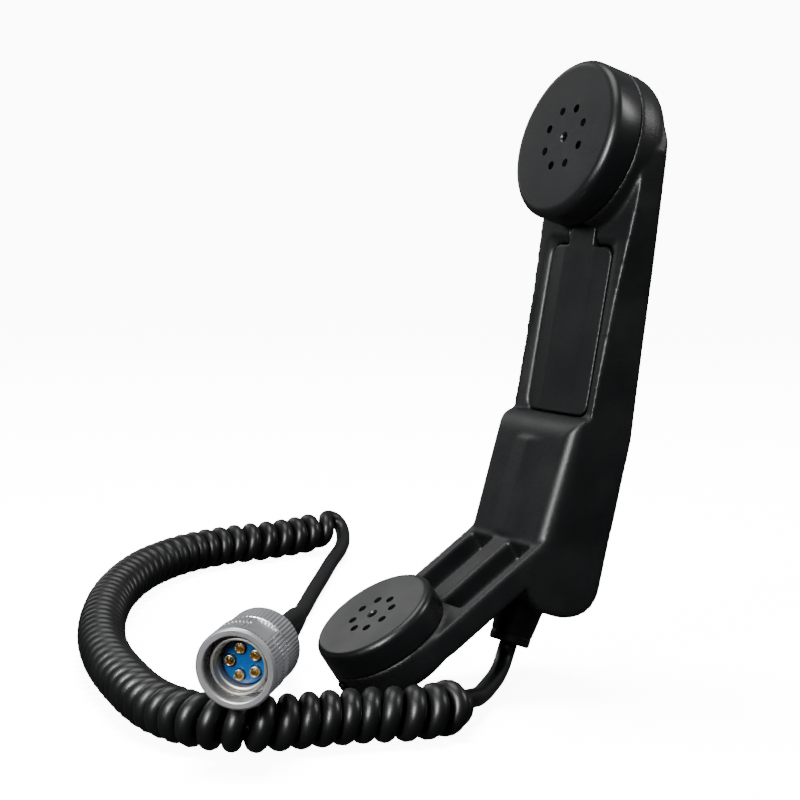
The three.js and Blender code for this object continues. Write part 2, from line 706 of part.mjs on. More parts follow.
function sideProfile() {
  const headFront = EAR_Z - HEAD_DROP;
  const heelTop = HEEL_Z + HEEL_ROUNDING;
  const shape = new THREE.Shape();
  shape.moveTo(edgeAt(SHOULDER_Z), SHOULDER_Z);
  shape.lineTo(edgeAt(headFront), headFront);
  shape.lineTo(edgeAt(headFront) + HEAD_FRONT_REACH, EAR_Z + HEAD_FRONT_RISE);
  shape.lineTo(backAt(headFront), EAR_Z + HEAD_BACK_RISE);
  shape.lineTo(backAt(headFront), headFront);
  shape.lineTo(backAt(BACK_BEND_Z), BACK_BEND_Z);
  shape.lineTo(backAt(heelTop), heelTop);
  shape.quadraticCurveTo(backAt(HEEL_Z) + 0.4, HEEL_Z, HEEL_MIDDLE_Y, HEEL_Z);
  shape.quadraticCurveTo((HEEL_MIDDLE_Y + TOE_Y) / 2, HEEL_Z, HEEL_FRONT_Y, HEEL_Z + HEEL_FRONT_RISE);
  shape.lineTo(TOE_Y, TOE_Z);
  shape.lineTo(BLOCK_FOOT_Y, BLOCK_FOOT_Z);
  shape.lineTo(BLOCK_HEAD_Y, BLOCK_HEAD_Z);
  shape.quadraticCurveTo(BLOCK_HEAD_Y + BLOCK_BROW_IN, SHOULDER_Z - BLOCK_BROW_DROP,
    edgeAt(SHOULDER_Z), SHOULDER_Z);
  return shape;
}

function frontOutline() {
  const right = [
    [BLOCK_HALF_WIDTH, 0],
    [BLOCK_HALF_WIDTH, BLOCK_FOOT_Z],
    [HANDLE_HALF_WIDTH, SHOULDER_Z - SIDES_WIDEN_Z],
    [HANDLE_HALF_WIDTH, SHOULDER_Z + SIDES_SWELL_Z],
    [HANDLE_HALF_WIDTH + HANDLE_SWELL, EAR_Z - SWELL_DROP],
    [HANDLE_TOP_HALF_WIDTH, EAR_Z - HEAD_LOW_DROP],
    [HANDLE_TOP_HALF_WIDTH, EAR_Z - HEAD_HIGH_DROP],
    [HANDLE_TOP_HALF_WIDTH - HEAD_SHOULDER_IN, EAR_Z + HEAD_SHOULDER_RISE],
  ];
  const left = right.map(([x, z]) => [-x, z]).reverse();
  return new THREE.ExtrudeGeometry(outline([...right, ...left]), { depth: BIG, bevelEnabled: false })
    .rotateX(Math.PI / 2)
    .translate(0, BIG / 2, 0);
}

// A long bar with two rounded back corners, along one straight run of the back.
function roundedRun(lean, from, to) {
  const half = HANDLE_TOP_HALF_WIDTH + 1;
  const r = BACK_ROUNDING;
  const shape = new THREE.Shape();
  shape.moveTo(-half, -BIG / 2);
  shape.lineTo(half, -BIG / 2);
  shape.lineTo(half, -r);
  shape.absarc(half - r, -r, r, 0, Math.PI / 2);
  shape.absarc(-half + r, -r, r, Math.PI / 2, Math.PI);
  const run = new THREE.Group();
  run.position.set(0, BACK_BEND_Y, BACK_BEND_Z);
  run.rotation.x = rad(-lean);
  run.updateMatrixWorld(true);
  return placed(plate(shape, from, to, 5), run.matrixWorld);
}

function handleOutside() {
  const slab = keep(solid(sideSlab(sideProfile(), BIG / 4)), solid(frontOutline()));
  const rounded = join(roundedRun(UPPER_LEAN, -1, BIG / 2), roundedRun(LOWER_LEAN, -BIG / 2, 1));
  return cut(keep(slab, rounded), ...blockCorners());
}

// The block's front: +Z runs up it to its head, and +Y runs into the block.
const blockFront = new THREE.Group();
blockFront.position.set(0, BLOCK_HEAD_Y, BLOCK_HEAD_Z);
blockFront.rotation.x = Math.atan2(BLOCK_FOOT_Y - BLOCK_HEAD_Y, BLOCK_HEAD_Z - BLOCK_FOOT_Z);
blockFront.updateMatrixWorld(true);
const BLOCK_FRONT_LENGTH = Math.hypot(BLOCK_FOOT_Y - BLOCK_HEAD_Y, BLOCK_FOOT_Z - BLOCK_HEAD_Z);

// Rounds the block's two upright front corners; the cut widens with the sides towards the grip.
function blockCorners() {
  const r = BLOCK_CORNER;
  const half = BLOCK_HALF_WIDTH;
  const shape = new THREE.Shape();
  shape.moveTo(half - r, -r);
  shape.lineTo(half + r, -r);
  shape.lineTo(half + r, r);
  shape.lineTo(half, r);
  shape.absarc(half - r, r, r, 0, -Math.PI / 2, true);
  const tool = plate(shape, -BLOCK_FRONT_LENGTH, BLOCK_HEAD_REACH);
  const spots = tool.attributes.position;
  for (let i = 0; i < spots.count; i += 1) {
    const up = 1 + spots.getZ(i) / BLOCK_FRONT_LENGTH;
    spots.setX(i, spots.getX(i) + up * BLOCK_NARROWER);
  }
  const corner = placed(tool, blockFront.matrixWorld);
  return [corner, corner.mirror([1, 0, 0])];
}

// The front of the block stands out a little along its middle, and the left side has a pad.
function blockRelief() {
  const ridge = outline([[-RIDGE_HALF_WIDTH, 1], [RIDGE_HALF_WIDTH, 1], [0, -RIDGE_HEIGHT]]);
  const pad = block(-HANDLE_HALF_WIDTH - PAD_HEIGHT, -BLOCK_HALF_WIDTH + CHAMBER_SIDE_WALL,
    PAD_DEPTH / 2, PAD_DEPTH * 1.5, -PAD_DROP - PAD_LENGTH, -PAD_DROP);
  return [
    placed(plate(ridge, 2 - BLOCK_FRONT_LENGTH, -2), blockFront.matrixWorld),
    placed(pad, blockFront.matrixWorld),
  ];
}

function armOutside() {
  const outlineOfArm = outline([
    [MOUTH_CAP_R + GAP, 0],
    [ARM_HALF_WIDTH, ARM_TAPER],
    [ARM_HALF_WIDTH, ARM_LENGTH],
    [-ARM_HALF_WIDTH, ARM_LENGTH],
    [-ARM_HALF_WIDTH, ARM_TAPER],
    [-MOUTH_CAP_R - GAP, 0],
  ]);
  const slab = placed(plate(outlineOfArm, -ARM_BOTTOM, -ARM_TOP), mouth.frame.matrixWorld);
  const behindBlock = solid(block(-BIG, BIG, -BIG, ARM_END_Y, -BIG, BIG));
  return keep(slab, behindBlock);
}

function armSlots() {
  return [-1, 1].map((side) => {
    const x = side * (SLOT_INNER_X + SLOT_OUTER_X) / 2;
    const half = (SLOT_OUTER_X - SLOT_INNER_X) / 2;
    const slot = block(x - half, x + half, SLOT_START, SLOT_END, -ARM_BOTTOM + SLOT_FLOOR, 0);
    return placed(slot, mouth.frame.matrixWorld);
  });
}

// Room for the wires: a chamber in the block, and ways to the ear cup, the switch and the
// mouth cup.
function chamber() {
  const top = SHOULDER_Z - SIDES_WIDEN_Z;
  const shape = outline([
    [CHAMBER_FRONT_Y, CHAMBER_FRONT_Z],
    [edgeAt(top), top],
    [backAt(top) - CHAMBER_WALL, top],
    [backAt(CHAMBER_BACK_Z) - CHAMBER_WALL, CHAMBER_BACK_Z],
    ...CHAMBER_FLOOR,
  ]);
  return solid(sideSlab(shape, BLOCK_HALF_WIDTH - CHAMBER_SIDE_WALL));
}

function wireways() {
  const half = WIREWAY_WIDTH / 2;
  const toSwitch = placed(
    block(-half, half, -WIREWAY_START, SWITCH_AT, switchBottom - GAP, seatFloor + GAP),
    barFrame.matrixWorld,
  );
  const toEar = placed(
    block(-half, half, SWITCH_AT, BAR_LENGTH + WIREWAY_BEYOND, wellFloor - WIREWAY_DEPTH,
      wellFloor + GAP),
    barFrame.matrixWorld,
  );
  const toMouth = placed(disc(WIRE_HOLE_R, 10, ARM_LENGTH, 12).rotateX(-Math.PI / 2)
    .translate(0, 0, -(ARM_TOP + ARM_BOTTOM) / 2), mouth.frame.matrixWorld);
  return [toSwitch, toEar, toMouth];
}

function bootSeat() {
  const seatR = BOOT_TOP_R + BOOT_SEAT_WIDER;
  const boss = disc(seatR, GAP, BOOT_NECK_LENGTH, 32);
  const below = disc(seatR, -BOOT_LENGTH, GAP, 32);
  const hole = disc(BOOT_NECK_R + GAP, -BOOT_LENGTH, BOOT_NECK_LENGTH + GAP, 32);
  const room = disc(BOOT_FLANGE_R + 1, BOOT_NECK_LENGTH, BOOT_ROOM, 32);
  return {
    boss: placed(boss, bootFrame.matrixWorld),
    below: placed(below, bootFrame.matrixWorld),
    holes: [placed(hole, bootFrame.matrixWorld), placed(room, bootFrame.matrixWorld)],
  };
}

function lockScrewPlace() {
  return new THREE.Matrix4().makeRotationX(Math.PI / 2)
    .setPosition(0, -MOUTH_CAP_R, -LOCK_SCREW_DEPTH);
}

function handsetBody() {
  const seat = bootSeat();
  const screwHole = disc(LOCK_SCREW_R * LOCK_SCREW_SHANK + GAP, -LOCK_SCREW_LENGTH - GAP, 5, 16)
    .applyMatrix4(lockScrewPlace());
  const outside = join(handleOutside(), ...blockRelief(), armOutside(), cupOutside(ear),
    cupOutside(mouth));
  return geometryOf(cut(
    join(cut(outside, seat.below), seat.boss),
    cupInside(ear),
    cupInside(mouth),
    capRoom(ear),
    capRoom(mouth),
    ...armSlots(),
    ...barWell(),
    chamber(),
    ...wireways(),
    ...seat.holes,
    placed(screwHole, mouth.frame.matrixWorld),
  ));
}

// Clears the handle and the arm from the space that a cap fills.
function capRoom(end) {
  const { spigotR } = levels(end);
  return placed(ring(spigotR, end.r + GAP, -end.height - GAP, 40, ROUND_SIDES), end.frame.matrixWorld);
}

function lockScrew() {
  return turned([
    [0, -LOCK_SCREW_LENGTH],
    [LOCK_SCREW_R * LOCK_SCREW_SHANK, -LOCK_SCREW_LENGTH],
    [LOCK_SCREW_R * LOCK_SCREW_SHANK, GAP],
    [LOCK_SCREW_R, GAP],
    ...arc(LOCK_SCREW_R - 0.5, GAP + 0.5, 0.5, 0, 90, 2),
    [0, GAP + 1],
  ], 20).applyMatrix4(lockScrewPlace());
}

// ---------------------------------------------------------------- cord

// Route of the lead from the boot to the coil, of the coil's middle line, and of the tail from
// the coil to the plug. All lie on the surface z = 0 except at their ends.
const bootEnd = new THREE.Vector3(0, 0, -BOOT_LENGTH).applyMatrix4(bootFrame.matrixWorld);

const LEAD_ROUTE = [
  [3, -26, 6.6],
  [8.5, -31.5, 4.6],
  [17, -39.5, 4],
  [28, -49, 4.6],
  [38, -57.5, 6.2],
  [45, -64, 8],
];

const COIL_ROUTE = [
  [50.5, -71.5, 8.9],
  [56, -80, 8.9],
  [56.5, -92, 8.9],
  [51.5, -107, 8.9],
  [48.5, -125, 8.9],
  [44.5, -142, 8.9],
  [33, -152.5, 8.9],
  [10.8, -156.9, 8.9],
  [-31.3, -151, 8.9],
  [-78.9, -138.5, 8.9],
  [-129.3, -118.3, 8.9],
  [-183.5, -89.3, 8.9],
  [-227, -57, 8.9],
  [-251.5, -27.5, 8.9],
  [-261, -4, 8.9],
  [-264, 15.6, 8.9],
  [-267.5, 33, 9.2],
  [-271.4, 49, 10.4],
];

const TAIL_ROUTE = [
  [-273, 54.5, 16.5],
  [-272.3, 57.6, 13.8],
  [-267.8, 57.2, 9.6],
  [-259.5, 52.9, 5.9],
  [-249, 45.6, 4.4],
  [-228, 30.2, 3.4],
  [-200.4, 11.8, 3.4],
  [-166, -11.3, 3.4],
  [-131.5, -34.1, 3.4],
  [-92, -62, 3.7],
  [-55, -80, 8.5],
  [-22, -94, 21],
  [2, -104, 31],
];

const routeOf = (points) =>
  new THREE.CatmullRomCurve3(points.map((p) => new THREE.Vector3(...p)), false, 'centripetal');

function tube(curve, diameter, sides, steps) {
  const section = new THREE.Shape(around(sides, 90).map((angle) =>
    new THREE.Vector2(diameter / 2 * Math.cos(angle), diameter / 2 * Math.sin(angle))));
  return new THREE.ExtrudeGeometry(section, { steps, extrudePath: curve, bevelEnabled: false });
}

// ---------------------------------------------------------------- plug

const plugStand = new THREE.Group();
plugStand.position.set(PLUG_X, PLUG_Y, PLUG_Z);
plugStand.rotation.z = rad(PLUG_TURN);
const plugFrame = new THREE.Group();
plugFrame.rotation.x = rad(90 + PLUG_NOD);
plugStand.add(plugFrame);
plugStand.updateMatrixWorld(true);

// A round blank with knurled bands and three flats between them.
function knurled(r, z0, z1) {
  const shape = outline(around(KNURL_TEETH * 2).map((angle, i) => {
    const radius = r - (i % 2) * KNURL_DEPTH;
    return [radius * Math.cos(angle), radius * Math.sin(angle)];
  }));
  const flats = around(3, 60).map((angle) =>
    solid(block(r - FLAT_DEPTH, r + 5, -r, r, z0 + 1, z1 - 1).rotateZ(angle)));
  return cut(solid(plate(shape, z0, z1)), ...flats);
}

const ringBack = -RING_LENGTH;
const flangeFront = ringBack + RING_COLLAR + GAP + SHELL_FLANGE;
const shellFront = -SHELL_SET_BACK;
const shellBack = shellFront - SHELL_LENGTH;
const spacerFront = ringBack - GAP;
const backshellFront = spacerFront - SPACER_THICKNESS - GAP;
const backshellBack = backshellFront - BACKSHELL_LENGTH;
const neckBack = backshellBack - BACKSHELL_NECK_LENGTH;
const nutBack = neckBack - GAP - NUT_LENGTH;
const plugBootBack = nutBack - PLUG_BOOT_LENGTH;
const insertFront = -INSERT_SET_BACK;
const insertBack = insertFront - INSERT_LENGTH;

function couplingRing() {
  const inside = turned([
    [0, ringBack - 1],
    [RING_COLLAR_R, ringBack - 1],
    [RING_COLLAR_R, ringBack + RING_COLLAR],
    [RING_BORE_R, ringBack + RING_COLLAR],
    [RING_BORE_R, -RING_LIP],
    [RING_MOUTH_R, -RING_LIP],
    [RING_MOUTH_R, 1],
    [0, 1],
  ], 32);
  const pins = around(BAYONET_PINS, 150).map((angle) =>
    solid(disc(BAYONET_PIN_R, RING_BORE_R - BAYONET_PIN_REACH, RING_BORE_R + 0.5, 10)
      .rotateY(Math.PI / 2)
      .translate(0, 0, -RING_LIP - BAYONET_PIN_SET_BACK)
      .rotateZ(angle)));
  return geometryOf(join(cut(knurled(RING_R, ringBack, 0), solid(inside)), ...pins));
}

function shell() {
  return turned([
    [SHELL_BORE_R, shellBack],
    [SHELL_R, shellBack],
    [SHELL_R, flangeFront - SHELL_FLANGE],
    [SHELL_FLANGE_R, flangeFront - SHELL_FLANGE],
    [SHELL_FLANGE_R, flangeFront],
    [SHELL_R, flangeFront],
    [SHELL_R, shellFront - 0.4],
    [SHELL_R - 0.4, shellFront],
    [SHELL_BORE_R, shellFront],
    [SHELL_BORE_R, shellBack],
  ], 32);
}

const contactPlaces = around(CONTACTS, CONTACT_PHASE).map((angle) =>
  [CONTACT_RING_R * Math.cos(angle), CONTACT_RING_R * Math.sin(angle)]);

function insert() {
  return drilled(disc(SHELL_BORE_R - GAP, insertBack, insertFront),
    contactPlaces.map(([x, y]) => disc(CONTACT_R + GAP, -60, 0, 16).translate(x, y, 0)));
}

function contact([x, y]) {
  return turned([
    [0, insertBack - CONTACT_TAIL],
    [CONTACT_R, insertBack - CONTACT_TAIL],
    [CONTACT_R, insertFront + CONTACT_PROUD],
    [CONTACT_BORE_R, insertFront + CONTACT_PROUD],
    [CONTACT_BORE_R, insertFront - CONTACT_DEPTH],
    [0, insertFront - CONTACT_DEPTH],
  ], 16).translate(x, y, 0);
}

function backshell() {
  const neck = turned([
    [0, neckBack],
    [BACKSHELL_R - BACKSHELL_TAPER, neckBack],
    [BACKSHELL_R - KNURL_DEPTH, backshellBack + 0.5],
    [0, backshellBack + 0.5],
  ], 32);
  const inside = turned([
    [0, neckBack - 1],
    [PLUG_BOOT_R + GAP, neckBack - 1],
    [PLUG_BOOT_R + GAP, backshellBack],
    [SHELL_R + GAP, backshellBack + 3],
    [SHELL_R + GAP, backshellFront + 1],
    [0, backshellFront + 1],
  ]);
  return geometryOf(cut(join(knurled(BACKSHELL_R, backshellBack, backshellFront), solid(neck)),
    solid(inside)));
}

// A nut with grooves round it, over the front of the plug's boot.
function glandNut() {
  const front = neckBack - GAP;
  const bore = PLUG_BOOT_R + GAP;
  const land = NUT_LENGTH / (NUT_GROOVES * 2 + 1);
  const low = NUT_R - NUT_GROOVE_DEPTH;
  const grooves = Array.from({ length: NUT_GROOVES }, (_, i) => nutBack + land * (2 * i + 1))
    .flatMap((z) => [[NUT_R, z], [low, z + land * 0.2], [low, z + land * 0.8], [NUT_R, z + land]]);
  return turned([
    [bore, nutBack],
    [NUT_R, nutBack],
    ...grooves,
    [NUT_R, front],
    [bore, front],
    [bore, nutBack],
  ], 32);
}

function plugBoot() {
  return drilled(turned([
    [0, plugBootBack],
    [PLUG_BOOT_END_R, plugBootBack],
    [PLUG_BOOT_R, nutBack],
    [PLUG_BOOT_R, neckBack + 2],
    [0, neckBack + 2],
  ], 24), [disc(CORD_D / 2 + GAP, -60, neckBack, 20)]);
}

// ---------------------------------------------------------------- assembly

const cordStart = new THREE.Vector3(0, 0, plugBootBack).applyMatrix4(plugFrame.matrixWorld);

function cords() {
  const coil = routeOf(COIL_ROUTE);
  const along = (point, direction, distance) => point.clone().addScaledVector(direction, distance);
  // Straight ends: two points on the line that a tube has to meet.
  const straight = (point, direction, reach) =>
    [along(point, direction, GAP), along(point, direction, reach)].map((p) => p.toArray());
  const down = new THREE.Vector3(0, 0, -1).transformDirection(bootFrame.matrixWorld);
  const back = new THREE.Vector3(0, 0, -1).transformDirection(plugFrame.matrixWorld);
  const lead = routeOf([
    ...straight(bootEnd, down, 3),
    ...LEAD_ROUTE,
    ...straight(coil.getPoint(0), coil.getTangent(0).negate(), 3).reverse(),
  ]);
  const coilTop = new THREE.Vector3(0, 0, COIL_WINDING / 2).add(coil.getPoint(1));
  const tail = routeOf([
    ...straight(coilTop, coil.getTangent(1), TAIL_STRAIGHT),
    ...TAIL_ROUTE,
    ...straight(cordStart, back, 5).reverse(),
  ]);
  return [
    piece('cord_lead', tube(lead, CORD_D, TUBE_SIDES, LEAD_STEPS), material(RUBBER, 0.45)),
    piece('cord_coil', tube(coil, COIL_D, COIL_SIDES, COIL_STEPS), material(RUBBER, 0.45)),
    piece('cord_tail', tube(tail, CORD_D, TUBE_SIDES, TAIL_STEPS), material(RUBBER, 0.45)),
  ];
}

for (const end of [ear, mouth]) {
  end.frame.add(
    piece(`${end.name}_cap`, cap(end), material(MOULDING, 0.42)),
    piece(`${end.name}_gasket`, gasket(end), material(RUBBER, 0.8)),
    piece(`${end.name}_capsule`, capsule(end), material(STEEL, 0.4, 0.8)),
    piece(`${end.name}_terminal_left`, terminal(end, -1), material(GOLD, 0.35, 1)),
    piece(`${end.name}_terminal_right`, terminal(end, 1), material(GOLD, 0.35, 1)),
  );
}
mouth.frame.add(piece('lock_screw', lockScrew(), material(0x1c1d1f, 0.35, 0.6)));

barFrame.add(
  piece('ptt_bar', bar(), material(MOULDING, 0.5)),
  piece('ptt_pin', disc(HINGE_PIN_R, -HINGE_PIN_LENGTH / 2, HINGE_PIN_LENGTH / 2, 16)
    .rotateY(Math.PI / 2)
    .translate(0, HINGE_Y, -HINGE_DEPTH), material(STEEL, 0.3, 1)),
  piece('switch_seal', drilled(plateBlank(sealTop - SWITCH_SEAL_THICKNESS, sealTop),
    [plungerHole(-20, 0), ...screwHoles()]), material(RUBBER, 0.8)),
  piece('switch_plate', drilled(plateBlank(plateTop - SWITCH_PLATE_THICKNESS, plateTop),
    [plungerHole(-20, 0), ...screwHoles()]), material(STEEL, 0.4, 1)),
  piece('switch_body', drilled(block(-SWITCH_WIDTH / 2, SWITCH_WIDTH / 2,
    SWITCH_AT - SWITCH_LENGTH / 2, SWITCH_AT + SWITCH_LENGTH / 2, switchBottom, switchTop),
    [plungerHole(switchTop - PLUNGER_REACH - PLUNGER_TRAVEL - 0.3, 0)]), material(0x26282b, 0.5)),
  piece('switch_plunger', disc(PLUNGER_R, switchTop - PLUNGER_REACH, -BAR_THICKNESS - PUSHER_PROUD - GAP, 20)
    .translate(0, SWITCH_AT, 0), material(0x8a2320, 0.5)),
  ...screwPlaces().map((place, i) =>
    piece(`plate_screw_${i + 1}`, screw(place), material(STEEL, 0.35, 1))),
);

bootFrame.add(
  piece('cord_boot', boot(), material(RUBBER, 0.6)),
  piece('cord_end', disc(CORD_D / 2, -BOOT_LENGTH + 0.1, CORD_END_LENGTH, 20),
    material(RUBBER, 0.5)),
  piece('cord_clamp', ring(CORD_D / 2 + GAP, CLAMP_R,
    CORD_END_LENGTH - CLAMP_LENGTH - 1, CORD_END_LENGTH - 1, 24), material(STEEL, 0.4, 1)),
);

plugFrame.add(
  piece('coupling_ring', couplingRing(), material(SATIN_ALLOY, 0.35, 1)),
  piece('plug_shell', shell(), material(0x9a9a97, 0.4, 0.9)),
  piece('plug_insert', insert(), material(0x0a5f96, 0.5)),
  ...contactPlaces.map((place, i) =>
    piece(`plug_contact_${i + 1}`, contact(place), material(GOLD, 0.25, 1))),
  piece('plug_spacer', ring(SHELL_R + GAP, RING_R - 1.2, spacerFront - SPACER_THICKNESS, spacerFront),
    material(RUBBER, 0.8)),
  piece('plug_backshell', backshell(), material(SATIN_ALLOY, 0.35, 1)),
  piece('plug_nut', glandNut(), material(MOULDING, 0.5)),
  piece('plug_boot', plugBoot(), material(RUBBER, 0.6)),
);

const handMicrophone = new THREE.Group();
handMicrophone.position.set(0, -GRIP_Y, -GRIP_Z);
handMicrophone.add(
  piece('handset_body', handsetBody(), material(MOULDING, 0.45)),
  ear.frame,
  mouth.frame,
  barFrame,
  bootFrame,
  plugStand,
  ...cords(),
);

export default handMicrophone;
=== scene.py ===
# %% [markdown]
# A radio hand microphone, dressed for its picture
#
# The CAD frame already holds every part at its true size: a hollow handset with two screw-on
# caps, a press-to-talk bar, a curly cord and a round audio plug. This lesson keeps those sizes and
# adds what CAD leaves out: soft moulded edges, grain, knurling, a wound cord and studio light.

# %% Load the CAD frame
import math

import bpy
from mathutils import Matrix, Vector


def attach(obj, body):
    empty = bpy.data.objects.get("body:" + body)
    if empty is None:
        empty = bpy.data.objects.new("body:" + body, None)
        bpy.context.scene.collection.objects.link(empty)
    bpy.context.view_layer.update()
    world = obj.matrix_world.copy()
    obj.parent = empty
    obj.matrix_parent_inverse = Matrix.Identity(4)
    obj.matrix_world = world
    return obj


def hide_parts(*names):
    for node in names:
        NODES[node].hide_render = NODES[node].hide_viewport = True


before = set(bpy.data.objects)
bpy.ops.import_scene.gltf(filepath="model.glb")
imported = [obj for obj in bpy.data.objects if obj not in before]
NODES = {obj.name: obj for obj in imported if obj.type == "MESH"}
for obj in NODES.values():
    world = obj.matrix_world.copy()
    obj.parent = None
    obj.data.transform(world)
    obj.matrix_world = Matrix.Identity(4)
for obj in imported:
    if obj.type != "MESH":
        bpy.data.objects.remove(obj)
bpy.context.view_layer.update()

MM = 0.001

# %% [markdown]
# Where things are
#
# The part was drawn standing on a surface, in millimetres, and its origin was then moved to the
# middle of the grip. `at` turns one of those drawing points into Blender's metres. The caps, the
# bar, the boot and the plug each have an axis of their own, so each also gets a matrix: a piece
# can then be modelled upright about Z, which is easy to think about, and laid in place at the end.

# %% Places and axes
GRIP = Vector((0.0, 10.0, 122.0))
FLOOR_Z = -0.122


def at(x, y, z):
    return (Vector((x, y, z)) - GRIP) * MM


def facing(x, y, z, tilt):
    turn = Matrix.Rotation(math.radians(90.0 - tilt), 4, "X")
    return Matrix.Translation(at(x, y, z)) @ turn


EAR = facing(0.0, 0.0, 187.0, 18.5)
MOUTH = facing(0.0, -75.0, 28.93, 56.0)
BOOT = Matrix.Translation(at(0.0, -16.4, 26.6)) @ Matrix.Rotation(math.radians(-20.3), 4, "X")
PLUG_AT = at(57.9, -153.0, 29.4)
PLUG = (
    Matrix.Translation(PLUG_AT)
    @ Matrix.Rotation(math.radians(45.6), 4, "Z")
    @ Matrix.Rotation(math.radians(94.5), 4, "X")
)
print("ear face at", [round(v, 4) for v in EAR.translation])

# %% [markdown]
# The camera
#
# A real product picture like this one is taken from a little above the grip, from the side that
# shows both caps and the plug's mouth, with a long lens so that the handset keeps its
# proportions. The camera looks six degrees down, so the floor fills the lower part of the frame.

# %% Camera
CAMERA_LENS = 103.5
LOOKS_DOWN = 0.1
LOOKS_ROUND = 1.055
camera_data = bpy.data.cameras.new("studio_camera")
camera_data.lens = CAMERA_LENS
camera_data.sensor_width = 36.0
camera_data.clip_start = 0.05
camera_data.clip_end = 20.0
camera = bpy.data.objects.new("studio_camera", camera_data)
camera.location = (0.6609, -0.4490, 0.0540)
camera.rotation_euler = (math.pi / 2 - LOOKS_DOWN, 0.0, LOOKS_ROUND)
bpy.context.scene.collection.objects.link(camera)
bpy.context.scene.camera = camera
print("lens", CAMERA_LENS, "mm at", [round(v, 3) for v in camera.location])

# %% [markdown]
# The cord's route
#
# The cord is one length of jacketed cable: a straight lead out of the handset's boot, a coil that
# was wound on a rod and set by heat, and a straight tail up into the plug. It could be three
# pieces, but a real cord has no joints, so the whole route is worked out as one line. The points
# are the CAD's own. A centripetal Catmull-Rom spline joins them, because it never overshoots or
# loops between uneven points.

# %% Route points and a spline through them
CORD_R = 3.2
BOOT_LENGTH = 14.0
PLUG_BACK = -45.6
FINE_STEPS = 60
LEAD_ROUTE = [
    (3.0, -26.0, 6.6), (8.5, -31.5, 4.6), (17.0, -39.5, 4.0),
    (28.0, -49.0, 4.6), (38.0, -57.5, 6.2), (45.0, -64.0, 8.0),
]
COIL_ROUTE = [
    (50.5, -71.5, 8.9), (56.0, -80.0, 8.9), (56.5, -92.0, 8.9), (51.5, -107.0, 8.9),
    (48.5, -125.0, 8.9), (44.5, -142.0, 8.9), (33.0, -152.5, 8.9), (10.8, -156.9, 8.9),
    (-31.3, -151.0, 8.9), (-78.9, -138.5, 8.9), (-129.3, -118.3, 8.9), (-183.5, -89.3, 8.9),
    (-227.0, -57.0, 8.9), (-251.5, -27.5, 8.9), (-261.0, -4.0, 8.9), (-264.0, 15.6, 8.9),
    (-267.5, 33.0, 9.2), (-271.4, 49.0, 10.4),
]
TAIL_ROUTE = [
    (-273.0, 54.5, 16.5), (-272.3, 57.6, 13.8), (-267.8, 57.2, 9.6), (-259.5, 52.9, 5.9),
    (-249.0, 45.6, 4.4), (-228.0, 30.2, 3.4), (-200.4, 11.8, 3.4), (-166.0, -11.3, 3.4),
    (-131.5, -34.1, 3.4), (-92.0, -62.0, 3.7), (-55.0, -80.0, 8.5), (-22.0, -94.0, 21.0),
    (2.0, -104.0, 31.0),
]


def spline_point(points, u):
    i = min(int(u), len(points) - 2)
    w = u - i
    b = points[i]
    c = points[i + 1]
    a = points[i - 1] if i > 0 else 2 * b - c
    d = points[i + 2] if i + 2 < len(points) else 2 * c - b
    t0 = math.sqrt((b - a).length)
    t1 = math.sqrt((c - b).length)
    t2 = math.sqrt((d - c).length)
    m = ((b - a) / t0 - (c - a) / (t0 + t1) + (c - b) / t1) * t1
    n = ((c - b) / t1 - (d - b) / (t1 + t2) + (d - c) / t2) * t1
    return b + w * m + w * w * (3 * (c - b) - 2 * m - n) + w ** 3 * (2 * (b - c) + m + n)


def even_steps(points, step):
    count = FINE_STEPS * (len(points) - 1)
    fine = [spline_point(points, k / FINE_STEPS) for k in range(count + 1)]
    run = [0.0]
    for p, q in zip(fine, fine[1:]):
        run.append(run[-1] + (q - p).length)
    count = max(2, round(run[-1] / step))
    line = []
    j = 0
    for k in range(count + 1):
        goal = run[-1] * k / count
        while j < len(run) - 2 and run[j + 1] < goal:
            j += 1
        share = (goal - run[j]) / max(run[j + 1] - run[j], 1e-12)
        line.append(fine[j].lerp(fine[j + 1], share))
    return line


def length_of(line):
    return sum((q - p).length for p, q in zip(line, line[1:]))


GUIDE_STEP = 0.5 * MM
coil_points = [at(*p) for p in COIL_ROUTE]
guide = even_steps(coil_points, GUIDE_STEP)
print("coil's middle line", round(length_of(guide) * 1000), "mm")

# %% [markdown]
# Winding the coil
#
# Each turn of a coil cord is a circle that travels along the middle line. Here a turn is twenty
# steps, and its circle grows from nothing over most of the first turn, where the lead comes in.
# That entry is tighter than a real cord could bend, and the jacket folds into itself there. A
# resting coil isn't even: near the handset the turns sit almost shut, and further out the cord's
# own drag has drawn them open. The pitch therefore grows along the line, and two slow sines let
# it breathe a little, as it does on a real cord. A few rounds of averaging then ease the cord
# where its three stretches meet.

# %% Wind the turns and join the three stretches
STEPS_PER_TURN = 20
WINDING_R = 5.6 * MM
LEAD_IN = 0.8
TIGHT_PITCH = 6.75 * MM
OPEN_PITCH = 8.6 * MM
TIGHT_UNTIL = 75 * MM
OPEN_FROM = 160 * MM
LAST_SHARE = 0.25
HEADING_REACH = 6
CALM_TURNS = 3
BREATHING = ((0.5, 0.31), (0.2, 0.83))
LEAD_STEP = 1.8 * MM
TAIL_STEP = 2.5 * MM
EASE_ROUNDS = 6
EASE_REACH = 14


def smooth(x):
    x = min(max(x, 0.0), 1.0)
    return x * x * (3 - 2 * x)


